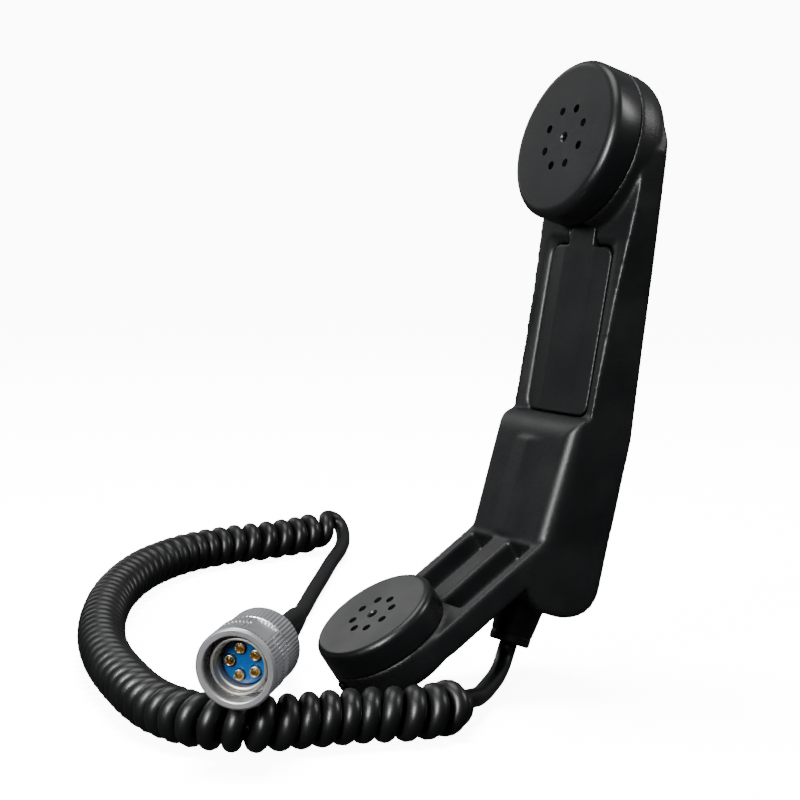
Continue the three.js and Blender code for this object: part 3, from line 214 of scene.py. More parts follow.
def turns_along(line):
    out = [0.0]
    run = 0.0
    for p, q in zip(line, line[1:]):
        step = (q - p).length
        run += step
        share = smooth((run - TIGHT_UNTIL) / (OPEN_FROM - TIGHT_UNTIL))
        pitch = TIGHT_PITCH + (OPEN_PITCH - TIGHT_PITCH) * share
        out.append(out[-1] + step / pitch)
    whole = round(out[-1]) + LAST_SHARE
    return [turn * whole / out[-1] for turn in out]


def wound(line):
    turns = turns_along(line)
    total = round(turns[-1] * STEPS_PER_TURN)
    out = []
    i = 0
    for k in range(total + 1):
        turn = turns[-1] * k / total
        while i < len(line) - 2 and turns[i + 1] < turn:
            i += 1
        share = (turn - turns[i]) / (turns[i + 1] - turns[i])
        middle = line[i].lerp(line[i + 1], share)
        near = line[max(i - HEADING_REACH, 0)]
        far = line[min(i + 1 + HEADING_REACH, len(line) - 1)]
        ahead = (far - near).normalized()
        side = ahead.cross(Vector((0, 0, 1))).normalized()
        up = side.cross(ahead)
        fade = smooth((turns[-1] - turn) / CALM_TURNS)
        breath = sum(size * math.sin(turn * pace) for size, pace in BREATHING)
        angle = 2 * math.pi * turn + fade * breath
        reach = WINDING_R * smooth(turn / LEAD_IN)
        out.append(middle + reach * (math.cos(angle) * side + math.sin(angle) * up))
    return out


boot_end = BOOT @ Vector((0, 0, -BOOT_LENGTH * MM))
boot_down = BOOT.to_3x3() @ Vector((0, 0, -1))
plug_end = PLUG @ Vector((0, 0, PLUG_BACK * MM))
plug_back = PLUG.to_3x3() @ Vector((0, 0, -1))
coil_start = (guide[0] - guide[1]).normalized()
coil_finish = (guide[-1] - guide[-2]).normalized()
lead_line = even_steps(
    [boot_end - 0.5 * MM * boot_down, boot_end + 3 * MM * boot_down]
    + [at(*p) for p in LEAD_ROUTE]
    + [guide[0] + 3 * MM * coil_start, guide[0]],
    LEAD_STEP,
)
coil_line = wound(guide)
coil_leaves = (coil_line[-1] - coil_line[-2]).normalized()
tail_line = even_steps(
    [coil_line[-1], coil_line[-1] + 2.2 * MM * (coil_leaves + coil_finish).normalized()]
    + [at(*p) for p in TAIL_ROUTE]
    + [plug_end + 5 * MM * plug_back, plug_end - 0.5 * MM * plug_back],
    TAIL_STEP,
)
cord_line = lead_line[:-1] + coil_line + tail_line[1:]
joints_at = [len(lead_line), len(lead_line) + len(coil_line)]
for _ in range(EASE_ROUNDS):
    relaxed = [p.copy() for p in cord_line]
    for middle in joints_at:
        for i in range(middle - EASE_REACH, middle + EASE_REACH):
            relaxed[i] = cord_line[i].lerp((cord_line[i - 1] + cord_line[i + 1]) / 2, 0.5)
    cord_line = relaxed

# %% [markdown]
# A skin round the route
#
# A curve with a bevel would give the tube, but a mesh can carry a map: one direction round the
# jacket and one along it. Each ring is carried from the last one with the least twist, so the
# surface doesn't spiral where the route turns.

# %% Tube mesh along a line
def tube(name, line, radius, sides):
    verts = []
    faces = []
    ahead = (line[1] - line[0]).normalized()
    across = ahead.orthogonal().normalized()
    for i, p in enumerate(line):
        near = line[max(i - 1, 0)]
        far = line[min(i + 1, len(line) - 1)]
        ahead = (far - near).normalized()
        across = (across - across.dot(ahead) * ahead).normalized()
        upward = ahead.cross(across)
        for k in range(sides):
            angle = 2 * math.pi * k / sides
            verts.append(p + radius * (math.cos(angle) * across + math.sin(angle) * upward))
    for i in range(len(line) - 1):
        for k in range(sides):
            a = i * sides + k
            b = i * sides + (k + 1) % sides
            faces.append((a, b, b + sides, a + sides))
    faces.append(tuple(reversed(range(sides))))
    faces.append(tuple(range((len(line) - 1) * sides, len(line) * sides)))
    mesh = bpy.data.meshes.new(name)
    mesh.from_pydata([tuple(v) for v in verts], [], faces)
    layer = mesh.uv_layers.new(name="jacket")
    run = 0.0
    along = [0.0]
    for p, q in zip(line, line[1:]):
        run += (q - p).length
        along.append(run)
    for face in mesh.polygons:
        ring = face.vertices[0] // sides
        for corner in face.loop_indices:
            vertex = mesh.loops[corner].vertex_index
            side = vertex % sides
            if side == 0 and any(v % sides == sides - 1 for v in face.vertices):
                side = sides
            layer.data[corner].uv = (side / sides, along[vertex // sides])
        face.use_smooth = len(face.vertices) == 4
    made = bpy.data.objects.new(name, mesh)
    bpy.context.scene.collection.objects.link(made)
    return made


CORD_SIDES = 14
cord = tube("curly_cord", cord_line, CORD_R * MM, CORD_SIDES)
print("cord has", len(cord.data.polygons), "faces")

# %% [markdown]
# Two small helpers for materials
#
# Colours are easiest to judge as the hex values of a paint chart, but Blender's sockets want
# linear light, so one function converts them. Another adds a node, with its settings and its
# links in one call, which keeps every recipe below short enough to read as a recipe.

# %% Colour and node helpers
def paint(code):
    parts = [int(code[i:i + 2], 16) / 255 for i in (0, 2, 4)]
    linear = [v / 12.92 if v <= 0.04045 else ((v + 0.055) / 1.055) ** 2.4 for v in parts]
    return (*linear, 1.0)


def add(tree, kind, settings=None, links=None):
    node = tree.nodes.new(kind)
    for name, value in (settings or {}).items():
        setattr(node, name, value)
    for socket, value in (links or {}).items():
        if isinstance(value, bpy.types.NodeSocket):
            tree.links.new(value, node.inputs[socket])
        else:
            node.inputs[socket].default_value = value
    return node


print("mid grey is", round(paint("808080")[0], 3), "in linear light")

# %% [markdown]
# What every finish shares
#
# Nothing real is one flat colour. Each finish here mixes two close shades in soft patches, makes
# its gloss uneven where hands and tools have been, and gives the surface a grain of a true size.
# The grain is a bump: noise whose cells are `grain` millimetres wide and `depth` millimetres
# deep. On convex edges the colour is lifted towards a lighter shade: a painted highlight where
# the edges catch light.

# %% One recipe for a finish
def finish(name, shades, rough, grain, depth, metallic=0.0, painted_edge_highlight=None, cells=False):
    material = bpy.data.materials.new(name)
    material.use_nodes = True
    tree = material.node_tree
    tree.nodes.clear()
    where = add(tree, "ShaderNodeTexCoord")
    patches = add(tree, "ShaderNodeTexNoise", None, {
        "Vector": where.outputs["Object"], "Scale": 60.0, "Detail": 4.0,
    })
    if cells:
        pebble = add(tree, "ShaderNodeTexVoronoi", {"feature": "SMOOTH_F1"}, {
            "Vector": where.outputs["Object"], "Scale": 1 / (grain * MM), "Smoothness": 0.6,
        }).outputs["Distance"]
    else:
        pebble = add(tree, "ShaderNodeTexNoise", None, {
            "Vector": where.outputs["Object"], "Scale": 1 / (grain * MM), "Detail": 3.0,
        }).outputs["Fac"]
    low, high = shades
    shade = add(tree, "ShaderNodeMix", {"data_type": "RGBA"}, {
        0: patches.outputs["Fac"], 6: paint(low), 7: paint(high),
    })
    colour = shade.outputs[2]
    # Painted highlight: convex edges, found by pointiness, are lifted towards a lighter shade that
    # stands in for light caught along them.
    if painted_edge_highlight:
        shape = add(tree, "ShaderNodeNewGeometry")
        edge = add(tree, "ShaderNodeMapRange", {"interpolation_type": "SMOOTHSTEP"}, {
            "Value": shape.outputs["Pointiness"], "From Min": 0.53, "From Max": 0.62,
            "To Min": 0.0, "To Max": 0.8,
        })
        edge_highlighted = add(tree, "ShaderNodeMix", {"data_type": "RGBA"}, {
            0: edge.outputs["Result"], 6: colour, 7: paint(painted_edge_highlight),
        })
        colour = edge_highlighted.outputs[2]
    gloss = add(tree, "ShaderNodeMapRange", None, {
        "Value": patches.outputs["Fac"], "From Min": 0.3, "From Max": 0.7,
        "To Min": rough[0], "To Max": rough[1],
    })
    bump = add(tree, "ShaderNodeBump", None, {
        "Height": pebble, "Strength": 1.0, "Distance": depth * MM,
    })
    surface = add(tree, "ShaderNodeBsdfPrincipled", None, {
        "Base Color": colour, "Roughness": gloss.outputs["Result"], "Metallic": metallic,
        "Normal": bump.outputs["Normal"],
    })
    add(tree, "ShaderNodeOutputMaterial", None, {"Surface": surface.outputs["BSDF"]})
    return material


def wear(piece, material):
    piece.data.materials.clear()
    piece.data.materials.append(material)
    return piece


def keep_node(node, material):
    wear(NODES[node], material)


print("finish recipe ready")

# %% [markdown]
# The black plastics and the rubber
#
# The handset is moulded glass-filled nylon with a spark-eroded grain, like fine leather, about
# half a millimetre across. The two caps are the same plastic from a smoother tool. The bar is
# smoother again, because a thumb lives on it. The cord's jacket is soft PVC straight from the
# extruder, with a low, wide gleam. Grain that is finer than the picture can show is drawn a
# little coarser than life.

# %% Plastics and rubber
# The last shade given to each plastic is its painted edge highlight.
grained_nylon = finish("moulded_nylon_leather_grain", ("0c0d0e", "131415"), (0.36, 0.5),
                       0.75, 0.035, painted_edge_highlight="232426", cells=True)
cap_nylon = finish("moulded_nylon_satin_cap", ("0d0e0f", "141516"), (0.28, 0.38),
                   0.45, 0.012, painted_edge_highlight="202123")
bar_nylon = finish("moulded_nylon_thumb_bar", ("0c0d0e", "121314"), (0.36, 0.46), 0.5, 0.01,
                   painted_edge_highlight="1e1f21")
pvc_jacket = finish("extruded_pvc_jacket", ("0a0b0b", "101111"), (0.3, 0.4), 0.6, 0.01)
boot_rubber = finish("moulded_rubber_boot", ("0c0d0d", "131414"), (0.42, 0.55), 0.4, 0.015)
gasket_rubber = finish("pressed_nitrile_rubber", ("151515", "1d1d1c"), (0.6, 0.75), 0.5, 0.02)
switch_pbt = finish("moulded_pbt_switch_case", ("1d1f22", "26292c"), (0.4, 0.55), 0.3, 0.01)
plunger_nylon = finish("moulded_red_nylon_plunger", ("7a1c1a", "952825"), (0.35, 0.45), 0.3, 0.008)
print(len(bpy.data.materials), "materials so far")

# %% [markdown]
# The metals
#
# The plug is turned aluminium, satin anodised, so its gleam is broad and even. Inside its mouth
# sits a bead-blasted nickel shell, greyer and softer. The contacts are gold-plated brass, the
# insert is a hard blue moulding, and the few steel parts are stamped or turned. A metal's colour
# is its reflection, so the shades are bright, and the roughness decides the look. The plug's two
# finishes stop a little short of pure metal, because their oxide skins scatter some light.

# %% Metals and the blue insert
satin_aluminium = finish("satin_anodised_aluminium", ("dcdee1", "eeeff1"), (0.26, 0.34),
                         0.18, 0.004, metallic=0.87)
blasted_nickel = finish("bead_blasted_nickel", ("a3a19b", "bab8b1"), (0.36, 0.46), 0.2, 0.01,
                        metallic=0.85)
gold_plate = finish("gold_plated_brass", ("cdbb94", "e6d8b6"), (0.24, 0.34), 0.3, 0.004,
                    metallic=1.0)
spring_bronze = finish("rolled_phosphor_bronze", ("a9743f", "c08c52"), (0.3, 0.4), 0.3, 0.005,
                       metallic=1.0)
stamped_steel = finish("stamped_stainless_steel", ("a2a4a8", "bcbec1"), (0.28, 0.4), 0.25, 0.006,
                       metallic=1.0)
# The capsules are painted near-black and not metal: painted shade, so the sound holes over them read
# as dark hollows.
capsule_painted_dark = finish("capsule_painted_hole_shade", ("0a0a0b", "101011"), (0.5, 0.65), 0.4, 0.01)
black_screw = finish("black_oxide_steel", ("1b1b1d", "2a2a2c"), (0.28, 0.4), 0.2, 0.008,
                     metallic=1.0)
blue_insert = finish("moulded_blue_insert", ("053f78", "085497"), (0.22, 0.34), 0.5, 0.01)
print(len(bpy.data.materials), "materials")

# %% [markdown]
# Turning a profile
#
# Caps, rings, nuts and boots are all turned or moulded round an axis, so they share a shape
# rule: a half section swept round Z. Blender's Spin would do it, but a few lines that write the
# rings directly give exact counts, closed poles and outward faces every time. `rounded` breaks a
# corner of the section with a small arc, because no real edge is perfectly sharp.

# %% A lathe for half sections
ON_AXIS = 0.01
CORNER_SHARE = 0.45
CORNER_STEPS = 3


def rounded(points, radius):
    out = []
    for i, (r, z) in enumerate(points):
        before = Vector(points[i - 1]) if i else None
        after = Vector(points[i + 1]) if i + 1 < len(points) else None
        here = Vector((r, z))
        if before is None or after is None or r < ON_AXIS:
            out.append((r, z))
            continue
        into = before - here
        onto = after - here
        reach = min(radius, into.length * CORNER_SHARE, onto.length * CORNER_SHARE)
        start = here + into.normalized() * reach
        end = here + onto.normalized() * reach
        for k in range(CORNER_STEPS + 1):
            t = k / CORNER_STEPS
            q = (1 - t) ** 2 * start + 2 * t * (1 - t) * here + t * t * end
            out.append((q.x, q.y))
    return out


def lathe(name, section, steps, closed=False):
    verts = []
    rings = []
    for r, z in section:
        if r < ON_AXIS:
            rings.append([len(verts)])
            verts.append((0.0, 0.0, z * MM))
            continue
        rings.append(list(range(len(verts), len(verts) + steps)))
        for k in range(steps):
            angle = 2 * math.pi * k / steps
            verts.append((r * MM * math.cos(angle), r * MM * math.sin(angle), z * MM))
    faces = []
    pairs = list(zip(rings, rings[1:]))
    if closed:
        pairs.append((rings[-1], rings[0]))
    for low, high in pairs:
        for k in range(steps):
            n = (k + 1) % steps
            corners = [low[k % len(low)], low[n % len(low)], high[n % len(high)], high[k % len(high)]]
            loop = []
            for c in corners:
                if c not in loop:
                    loop.append(c)
            if len(loop) > 2:
                faces.append(loop)
    mesh = bpy.data.meshes.new(name)
    mesh.from_pydata(verts, [], faces)
    made = bpy.data.objects.new(name, mesh)
    bpy.context.scene.collection.objects.link(made)
    return made


def lay(piece, place, sharp=30.0):
    piece.data.transform(place)
    piece.data.update()
    for face in piece.data.polygons:
        face.use_smooth = True
    piece.data.set_sharp_from_angle(angle=math.radians(sharp))
    return piece


def settle(piece, body, slot, *nodes):
    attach(piece, body)
    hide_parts(*nodes)
    print(piece.name, "rides on", body, "with", len(piece.data.polygons), "faces")


print("lathe ready")

# %% [markdown]
# Holes in the caps
#
# Each cap is a shallow screw-on lid with nine sound holes: eight on a ring and one in the middle.
# The middle one is part of the turned section. The ring's holes repeat, so Geometry Nodes drill
# them. A mesh circle gives the points, each point gets a drill, and a boolean takes them out.
# The inputs carry the sizes, so one tree drills both lids.

# %% A tree that drills sound holes
def tree_with(name, sizes):
    tree = bpy.data.node_groups.new(name, "GeometryNodeTree")
    face = tree.interface
    face.new_socket("Geometry", in_out="INPUT", socket_type="NodeSocketGeometry")
    for size, kind in sizes:
        face.new_socket(size, in_out="INPUT", socket_type=kind)
    face.new_socket("Geometry", in_out="OUTPUT", socket_type="NodeSocketGeometry")
    inside = add(tree, "NodeGroupInput")
    return tree, inside.outputs


def end_tree(tree, geometry, material):
    whole = add(tree, "GeometryNodeRealizeInstances", None, {"Geometry": geometry})
    dressed = add(tree, "GeometryNodeSetMaterial", None, {
        "Geometry": whole.outputs["Geometry"], "Material": material,
    })
    add(tree, "NodeGroupOutput", None, {"Geometry": dressed.outputs["Geometry"]})


def run_tree(piece, tree, values):
    modifier = piece.modifiers.new(tree.name, "NODES")
    modifier.node_group = tree
    ids = {s.name: s.identifier for s in tree.interface.items_tree if s.in_out == "INPUT"}
    for name, value in values.items():
        modifier[ids[name]] = value
    graph = bpy.context.evaluated_depsgraph_get()
    mesh = bpy.data.meshes.new_from_object(piece.evaluated_get(graph))
    piece.modifiers.clear()
    piece.data = mesh
    return piece


def ring_of_points(tree, given):
    circle = add(tree, "GeometryNodeMeshCircle", None, {
        "Vertices": given["Count"], "Radius": given["Ring radius"],
    })
    spin = add(tree, "ShaderNodeCombineXYZ", None, {"Z": given["Phase"]})
    turned = add(tree, "GeometryNodeTransform", None, {
        "Geometry": circle.outputs["Mesh"], "Rotation": spin.outputs["Vector"],
    })
    points = add(tree, "GeometryNodeMeshToPoints", None, {"Mesh": turned.outputs["Geometry"]})
    return points.outputs["Points"]


DRILL_SIDES = 28
DRILL_LENGTH = 12 * MM
drill_tree, given = tree_with("drill_sound_holes", [
    ("Hole radius", "NodeSocketFloat"), ("Ring radius", "NodeSocketFloat"),
    ("Count", "NodeSocketInt"), ("Phase", "NodeSocketFloat"), ("Material", "NodeSocketMaterial"),
])
drill = add(drill_tree, "GeometryNodeMeshCylinder", None, {
    "Vertices": DRILL_SIDES, "Radius": given["Hole radius"], "Depth": DRILL_LENGTH,
})
drills = add(drill_tree, "GeometryNodeInstanceOnPoints", None, {
    "Points": ring_of_points(drill_tree, given), "Instance": drill.outputs["Mesh"],
})
drilled = add(drill_tree, "GeometryNodeMeshBoolean", {"operation": "DIFFERENCE"}, {
    "Mesh 1": given["Geometry"],
})
drill_tree.links.new(drills.outputs["Instances"], drilled.inputs["Mesh 2"])
end_tree(drill_tree, drilled.outputs["Mesh"], given["Material"])
print("drill tree has", len(drill_tree.nodes), "nodes")

# %% [markdown]
# The two caps
#
# A cap's section is a top, a generous rounded rim, a side wall and a hollow. The rim is an arc of
# many short steps, because it carries the brightest line of the whole object and any facet in it
# would show. The face is dished by a hair towards its middle, as a moulded disc always is.

# %% Ear cap and mouth cap
HOLE_R = 1.5
HOLE_COUNT = 8
RIM_STEPS = 10
CAP_STEPS = 144
EAR_CAP_R = 28.4
MOUTH_CAP_R = 21.8


def cap_section(radius, height, wall, fillet):
    out = [(HOLE_R, -wall), (HOLE_R, -0.6), (1.95, -0.12), (radius * 0.5, -0.09)]
    out.append((radius - fillet - 0.6, 0.0))
    for k in range(RIM_STEPS + 1):
        angle = math.radians(90 - 90 * k / RIM_STEPS)
        out.append((radius - fillet + fillet * math.cos(angle), -fillet + fillet * math.sin(angle)))
    out.append((radius, -height + 0.35))
    out.append((radius - 0.1, -height + 0.1))
    out.append((radius - 0.35, -height))
    out.append((radius - wall, -height))
    out.append((radius - wall, -wall))
    return out[::-1]


def make_cap(name, place, radius, height, wall, fillet, ring, phase, node):
    made = lathe(name, cap_section(radius, height, wall, fillet), CAP_STEPS, closed=True)
    run_tree(made, drill_tree, {
        "Hole radius": HOLE_R * MM, "Ring radius": ring * MM, "Count": HOLE_COUNT,
        "Phase": math.radians(phase), "Material": cap_nylon,
    })
    lay(made, place, 28.0)
    settle(made, "handset", "black_cap_moulding", node)


make_cap("ear_cap_moulding", EAR, EAR_CAP_R, 11.0, 2.4, 3.0, 10.6, 29.0, "ear_cap")
make_cap("mouth_cap_moulding", MOUTH, MOUTH_CAP_R, 9.6, 2.2, 2.4, 7.75, -5.0, "mouth_cap")

# %% [markdown]
# The handset's moulding
#
# The body is one hollow moulding: grip, block, arm and two cups. CAD gives its true shape with
# knife-sharp edges, and a mould can't make those: every outer edge comes out with a radius of
# half a millimetre or more. A bevel on such a mixed mesh tears where many edges meet, so the body
# is re-skinned instead: a copy is rebuilt as an even net of small squares, and a few rounds of
# smoothing melt the edges by about the width of a square. The round cups are then trued, so
# their walls are exact circles again and no facet shows in the gleam.

# %% Re-skin a copy of a CAD node
def reskin(name, node, voxel, rounds):
    made = bpy.data.objects.new(name, NODES[node].data.copy())
    bpy.context.scene.collection.objects.link(made)
    weld = made.modifiers.new("weld", "WELD")
    weld.merge_threshold = 0.01 * MM
    net = made.modifiers.new("net", "REMESH")
    net.mode = "VOXEL"
    net.voxel_size = voxel * MM
    net.use_smooth_shade = True
    melt = made.modifiers.new("melt", "SMOOTH")
    melt.factor = 0.5
    melt.iterations = rounds
    graph = bpy.context.evaluated_depsgraph_get()
    mesh = bpy.data.meshes.new_from_object(made.evaluated_get(graph))
    made.modifiers.clear()
    made.data = mesh
    return made


TRUE_WITHIN = 0.16


def true_up(piece, place, radius, depth, top, fillet):
    back = place.inverted()
    for vertex in piece.data.vertices:
        p = back @ vertex.co
        reach = math.hypot(p.x, p.y)
        if not -(depth - fillet) * MM < p.z < top * MM:
            continue
        if abs(reach - radius * MM) > TRUE_WITHIN * MM:
            continue
        p.x *= radius * MM / reach
        p.y *= radius * MM / reach
        vertex.co = place @ p
    piece.data.update()


VOXEL = 0.76
SMOOTH_ROUNDS = 7
handset = reskin("handset_moulding", "handset_body", VOXEL, SMOOTH_ROUNDS)
true_up(handset, EAR, EAR_CAP_R, 26.0, -12.2, 9.0)
true_up(handset, MOUTH, MOUTH_CAP_R, 21.6, -10.8, 3.0)
wear(handset, grained_nylon)
settle(handset, "handset", "black_moulding", "handset_body")

# %% [markdown]
# The press-to-talk bar
#
# The bar is a separate flat moulding that rocks on a pin under the ear cup. Its face has two
# shallow creases where the edges fall away, and it sits nearly flush in its well with a dark gap
# all round. The same re-skinning, with a finer net, softens its edges but keeps the creases.

# %% Bar
BAR_VOXEL = 0.42
bar = reskin("talk_bar_moulding", "ptt_bar", BAR_VOXEL, 2)
wear(bar, bar_nylon)
settle(bar, "ptt_bar", "black_bar_moulding", "ptt_bar")

# %% [markdown]
# Boot and lock screw
#
# The cord leaves the heel through a rubber boot, a stubby cone with a shallow groove above its
# foot. A small dark screw at the toe of the mouth cup stops the cap from working loose. Its
# domed head carries a driver slot, cut with a boolean.

# %% Boot and screw
def cut(piece, tool):
    milled = piece.modifiers.new("cut", "BOOLEAN")
    milled.operation = "DIFFERENCE"
    milled.object = tool
    graph = bpy.context.evaluated_depsgraph_get()
    mesh = bpy.data.meshes.new_from_object(piece.evaluated_get(graph))
    piece.modifiers.clear()
    piece.data = mesh
    bpy.data.objects.remove(tool)


boot_section = rounded([
    (3.5, -14.0), (6.6, -14.0), (7.1, -13.5), (7.15, -11.2), (7.0, -11.0), (7.0, -10.4),
    (7.2, -10.2), (8.3, -0.2), (5.2, -0.1), (5.2, 4.9), (7.6, 4.9), (7.6, 6.8), (3.5, 6.8),
], 0.35)
boot = lay(lathe("cord_boot_moulding", boot_section, 72, closed=True), BOOT)
wear(boot, boot_rubber)
settle(boot, "handset", "boot_rubber", "cord_boot")

SCREW_PLACE = MOUTH @ Matrix.Translation(Vector((0, -MOUTH_CAP_R, -13.4)) * MM) @ Matrix.Rotation(
    math.pi / 2, 4, "X")
screw_section = rounded([
    (0.0, -2.9), (1.15, -2.9), (1.15, 0.35), (1.95, 0.35), (1.95, 0.9), (1.5, 1.25), (0.0, 1.3),
], 0.15)
screw = lathe("lock_screw_head", screw_section, 40)
slot_mesh = bpy.data.meshes.new("driver_slot")
slot_corners = [
    (x * MM, y * MM, z * MM) for x in (-3.0, 3.0) for y in (-0.28, 0.28) for z in (0.75, 3.0)
]
slot_mesh.from_pydata(slot_corners, [], [
    (0, 1, 3, 2), (4, 6, 7, 5), (0, 4, 5, 1), (2, 3, 7, 6), (0, 2, 6, 4), (1, 5, 7, 3),
])
slot_tool = bpy.data.objects.new("driver_slot", slot_mesh)
bpy.context.scene.collection.objects.link(slot_tool)
cut(screw, slot_tool)
lay(screw, SCREW_PLACE)
wear(screw, black_screw)
settle(screw, "handset", "black_oxide_steel", "lock_screw")

# %% [markdown]
# Knurling
#
# A knurl is straight teeth rolled into a turned ring, here broken by three milled flats for
# grip. The rule is simple: the radius falls and rises with the angle, only within the knurled
# band, and never stands further out than a flat. Geometry Nodes apply that rule to a plain
# turned ring, and only to points that the ring already has. Teeth are finer on the real plug than
# this picture can resolve, so there are a few fewer of them, each a little wider.

# %% A tree that knurls a turned ring
knurl_tree, given = tree_with("knurl_and_flats", [
    ("Teeth", "NodeSocketFloat"), ("Depth", "NodeSocketFloat"), ("Outer", "NodeSocketFloat"),
    ("Band start", "NodeSocketFloat"), ("Band end", "NodeSocketFloat"),
    ("Flat distance", "NodeSocketFloat"), ("Flat phase", "NodeSocketFloat"),
    ("Flat start", "NodeSocketFloat"), ("Flat end", "NodeSocketFloat"),
    ("Material", "NodeSocketMaterial"),
])
spot = add(knurl_tree, "GeometryNodeInputPosition")
xyz = add(knurl_tree, "ShaderNodeSeparateXYZ", None, {"Vector": spot.outputs["Position"]})
angle = add(knurl_tree, "ShaderNodeMath", {"operation": "ARCTAN2"}, {
    0: xyz.outputs["Y"], 1: xyz.outputs["X"],
})
flat_xy = add(knurl_tree, "ShaderNodeCombineXYZ", None, {
    "X": xyz.outputs["X"], "Y": xyz.outputs["Y"],
})
radius = add(knurl_tree, "ShaderNodeVectorMath", {"operation": "LENGTH"}, {
    0: flat_xy.outputs["Vector"],
})
per_tooth = add(knurl_tree, "ShaderNodeMath", {"operation": "MULTIPLY"}, {
    0: angle.outputs["Value"], 1: given["Teeth"],
})
in_turns = add(knurl_tree, "ShaderNodeMath", {"operation": "DIVIDE"}, {
    0: per_tooth.outputs["Value"], 1: 2 * math.pi,
})
wave = add(knurl_tree, "ShaderNodeMath", {"operation": "PINGPONG"}, {
    0: in_turns.outputs["Value"], 1: 0.5,
})
after_start = add(knurl_tree, "ShaderNodeMath", {"operation": "GREATER_THAN"}, {
    0: xyz.outputs["Z"], 1: given["Band start"],
})
before_end = add(knurl_tree, "ShaderNodeMath", {"operation": "LESS_THAN"}, {
    0: xyz.outputs["Z"], 1: given["Band end"],
})
in_band = add(knurl_tree, "ShaderNodeMath", {"operation": "MULTIPLY"}, {
    0: after_start.outputs["Value"], 1: before_end.outputs["Value"],
})
inner_limit = add(knurl_tree, "ShaderNodeMath", {"operation": "SUBTRACT"}, {
    0: given["Outer"], 1: 0.12 * MM,
})
outside = add(knurl_tree, "ShaderNodeMath", {"operation": "GREATER_THAN"}, {
    0: radius.outputs["Value"], 1: inner_limit.outputs["Value"],
})
knurled = add(knurl_tree, "ShaderNodeMath", {"operation": "MULTIPLY"}, {
    0: in_band.outputs["Value"], 1: outside.outputs["Value"],
})
fall = add(knurl_tree, "ShaderNodeMath", {"operation": "MULTIPLY"}, {
    0: wave.outputs["Value"], 1: given["Depth"],
})
fall_here = add(knurl_tree, "ShaderNodeMath", {"operation": "MULTIPLY"}, {
    0: fall.outputs["Value"], 1: knurled.outputs["Value"],
})
toothed = add(knurl_tree, "ShaderNodeMath", {"operation": "MULTIPLY_ADD"}, {
    0: fall_here.outputs["Value"], 1: -2.0, 2: radius.outputs["Value"],
})
shifted = add(knurl_tree, "ShaderNodeMath", {"operation": "SUBTRACT"}, {
    0: angle.outputs["Value"], 1: given["Flat phase"],
})
from_flat = add(knurl_tree, "ShaderNodeMath", {"operation": "WRAP"}, {
    0: shifted.outputs["Value"], 1: math.pi / 3, 2: -math.pi / 3,
})
lean = add(knurl_tree, "ShaderNodeMath", {"operation": "COSINE"}, {0: from_flat.outputs["Value"]})
flat_reach = add(knurl_tree, "ShaderNodeMath", {"operation": "DIVIDE"}, {
    0: given["Flat distance"], 1: lean.outputs["Value"],
})
flat_after = add(knurl_tree, "ShaderNodeMath", {"operation": "GREATER_THAN"}, {
    0: xyz.outputs["Z"], 1: given["Flat start"],
})
flat_before = add(knurl_tree, "ShaderNodeMath", {"operation": "LESS_THAN"}, {
    0: xyz.outputs["Z"], 1: given["Flat end"],
})
in_flat = add(knurl_tree, "ShaderNodeMath", {"operation": "MULTIPLY"}, {
    0: flat_after.outputs["Value"], 1: flat_before.outputs["Value"],
})
milled_off = add(knurl_tree, "ShaderNodeMath", {"operation": "MINIMUM"}, {
    0: toothed.outputs["Value"], 1: flat_reach.outputs["Value"],
})
chosen = add(knurl_tree, "ShaderNodeMix", {"data_type": "FLOAT"}, {
    0: in_flat.outputs["Value"], 2: toothed.outputs["Value"], 3: milled_off.outputs["Value"],
})
ratio = add(knurl_tree, "ShaderNodeMath", {"operation": "DIVIDE"}, {
    0: chosen.outputs[0], 1: radius.outputs["Value"],
})
new_xy = add(knurl_tree, "ShaderNodeVectorMath", {"operation": "SCALE"}, {
    0: flat_xy.outputs["Vector"], "Scale": ratio.outputs["Value"],
})
height = add(knurl_tree, "ShaderNodeCombineXYZ", None, {"Z": xyz.outputs["Z"]})
new_spot = add(knurl_tree, "ShaderNodeVectorMath", {"operation": "ADD"}, {
    0: new_xy.outputs["Vector"], 1: height.outputs["Vector"],
})
moved = add(knurl_tree, "GeometryNodeSetPosition", None, {
    "Geometry": given["Geometry"], "Position": new_spot.outputs["Vector"],
})
end_tree(knurl_tree, moved.outputs["Geometry"], given["Material"])
print("knurl tree has", len(knurl_tree.nodes), "nodes")

# %% [markdown]
# The plug's two grip rings
#
# In front is the coupling ring, which turns on the plug and locks it with three pins. A smooth
# turned groove parts its teeth into two bands, and its face is a flat, polished lip. Behind it
# the fixed backshell starts with the same teeth, which run out towards its rear, and then a
# smooth cone goes down to the gland nut. It has no flats.

# %% Coupling ring and backshell
TEETH = 64
KNURL_STEPS = TEETH * 8
KNURL_DEPTH = 0.45 * MM
RING_R = 12.6
BACKSHELL_R = 12.1
FLATS_AT = math.radians(60.0)
BAND_STEP = 0.5


def stepped(r, low, high):
    count = max(1, round((high - low) / BAND_STEP))
    return [(r, low + (high - low) * k / count) for k in range(count + 1)]


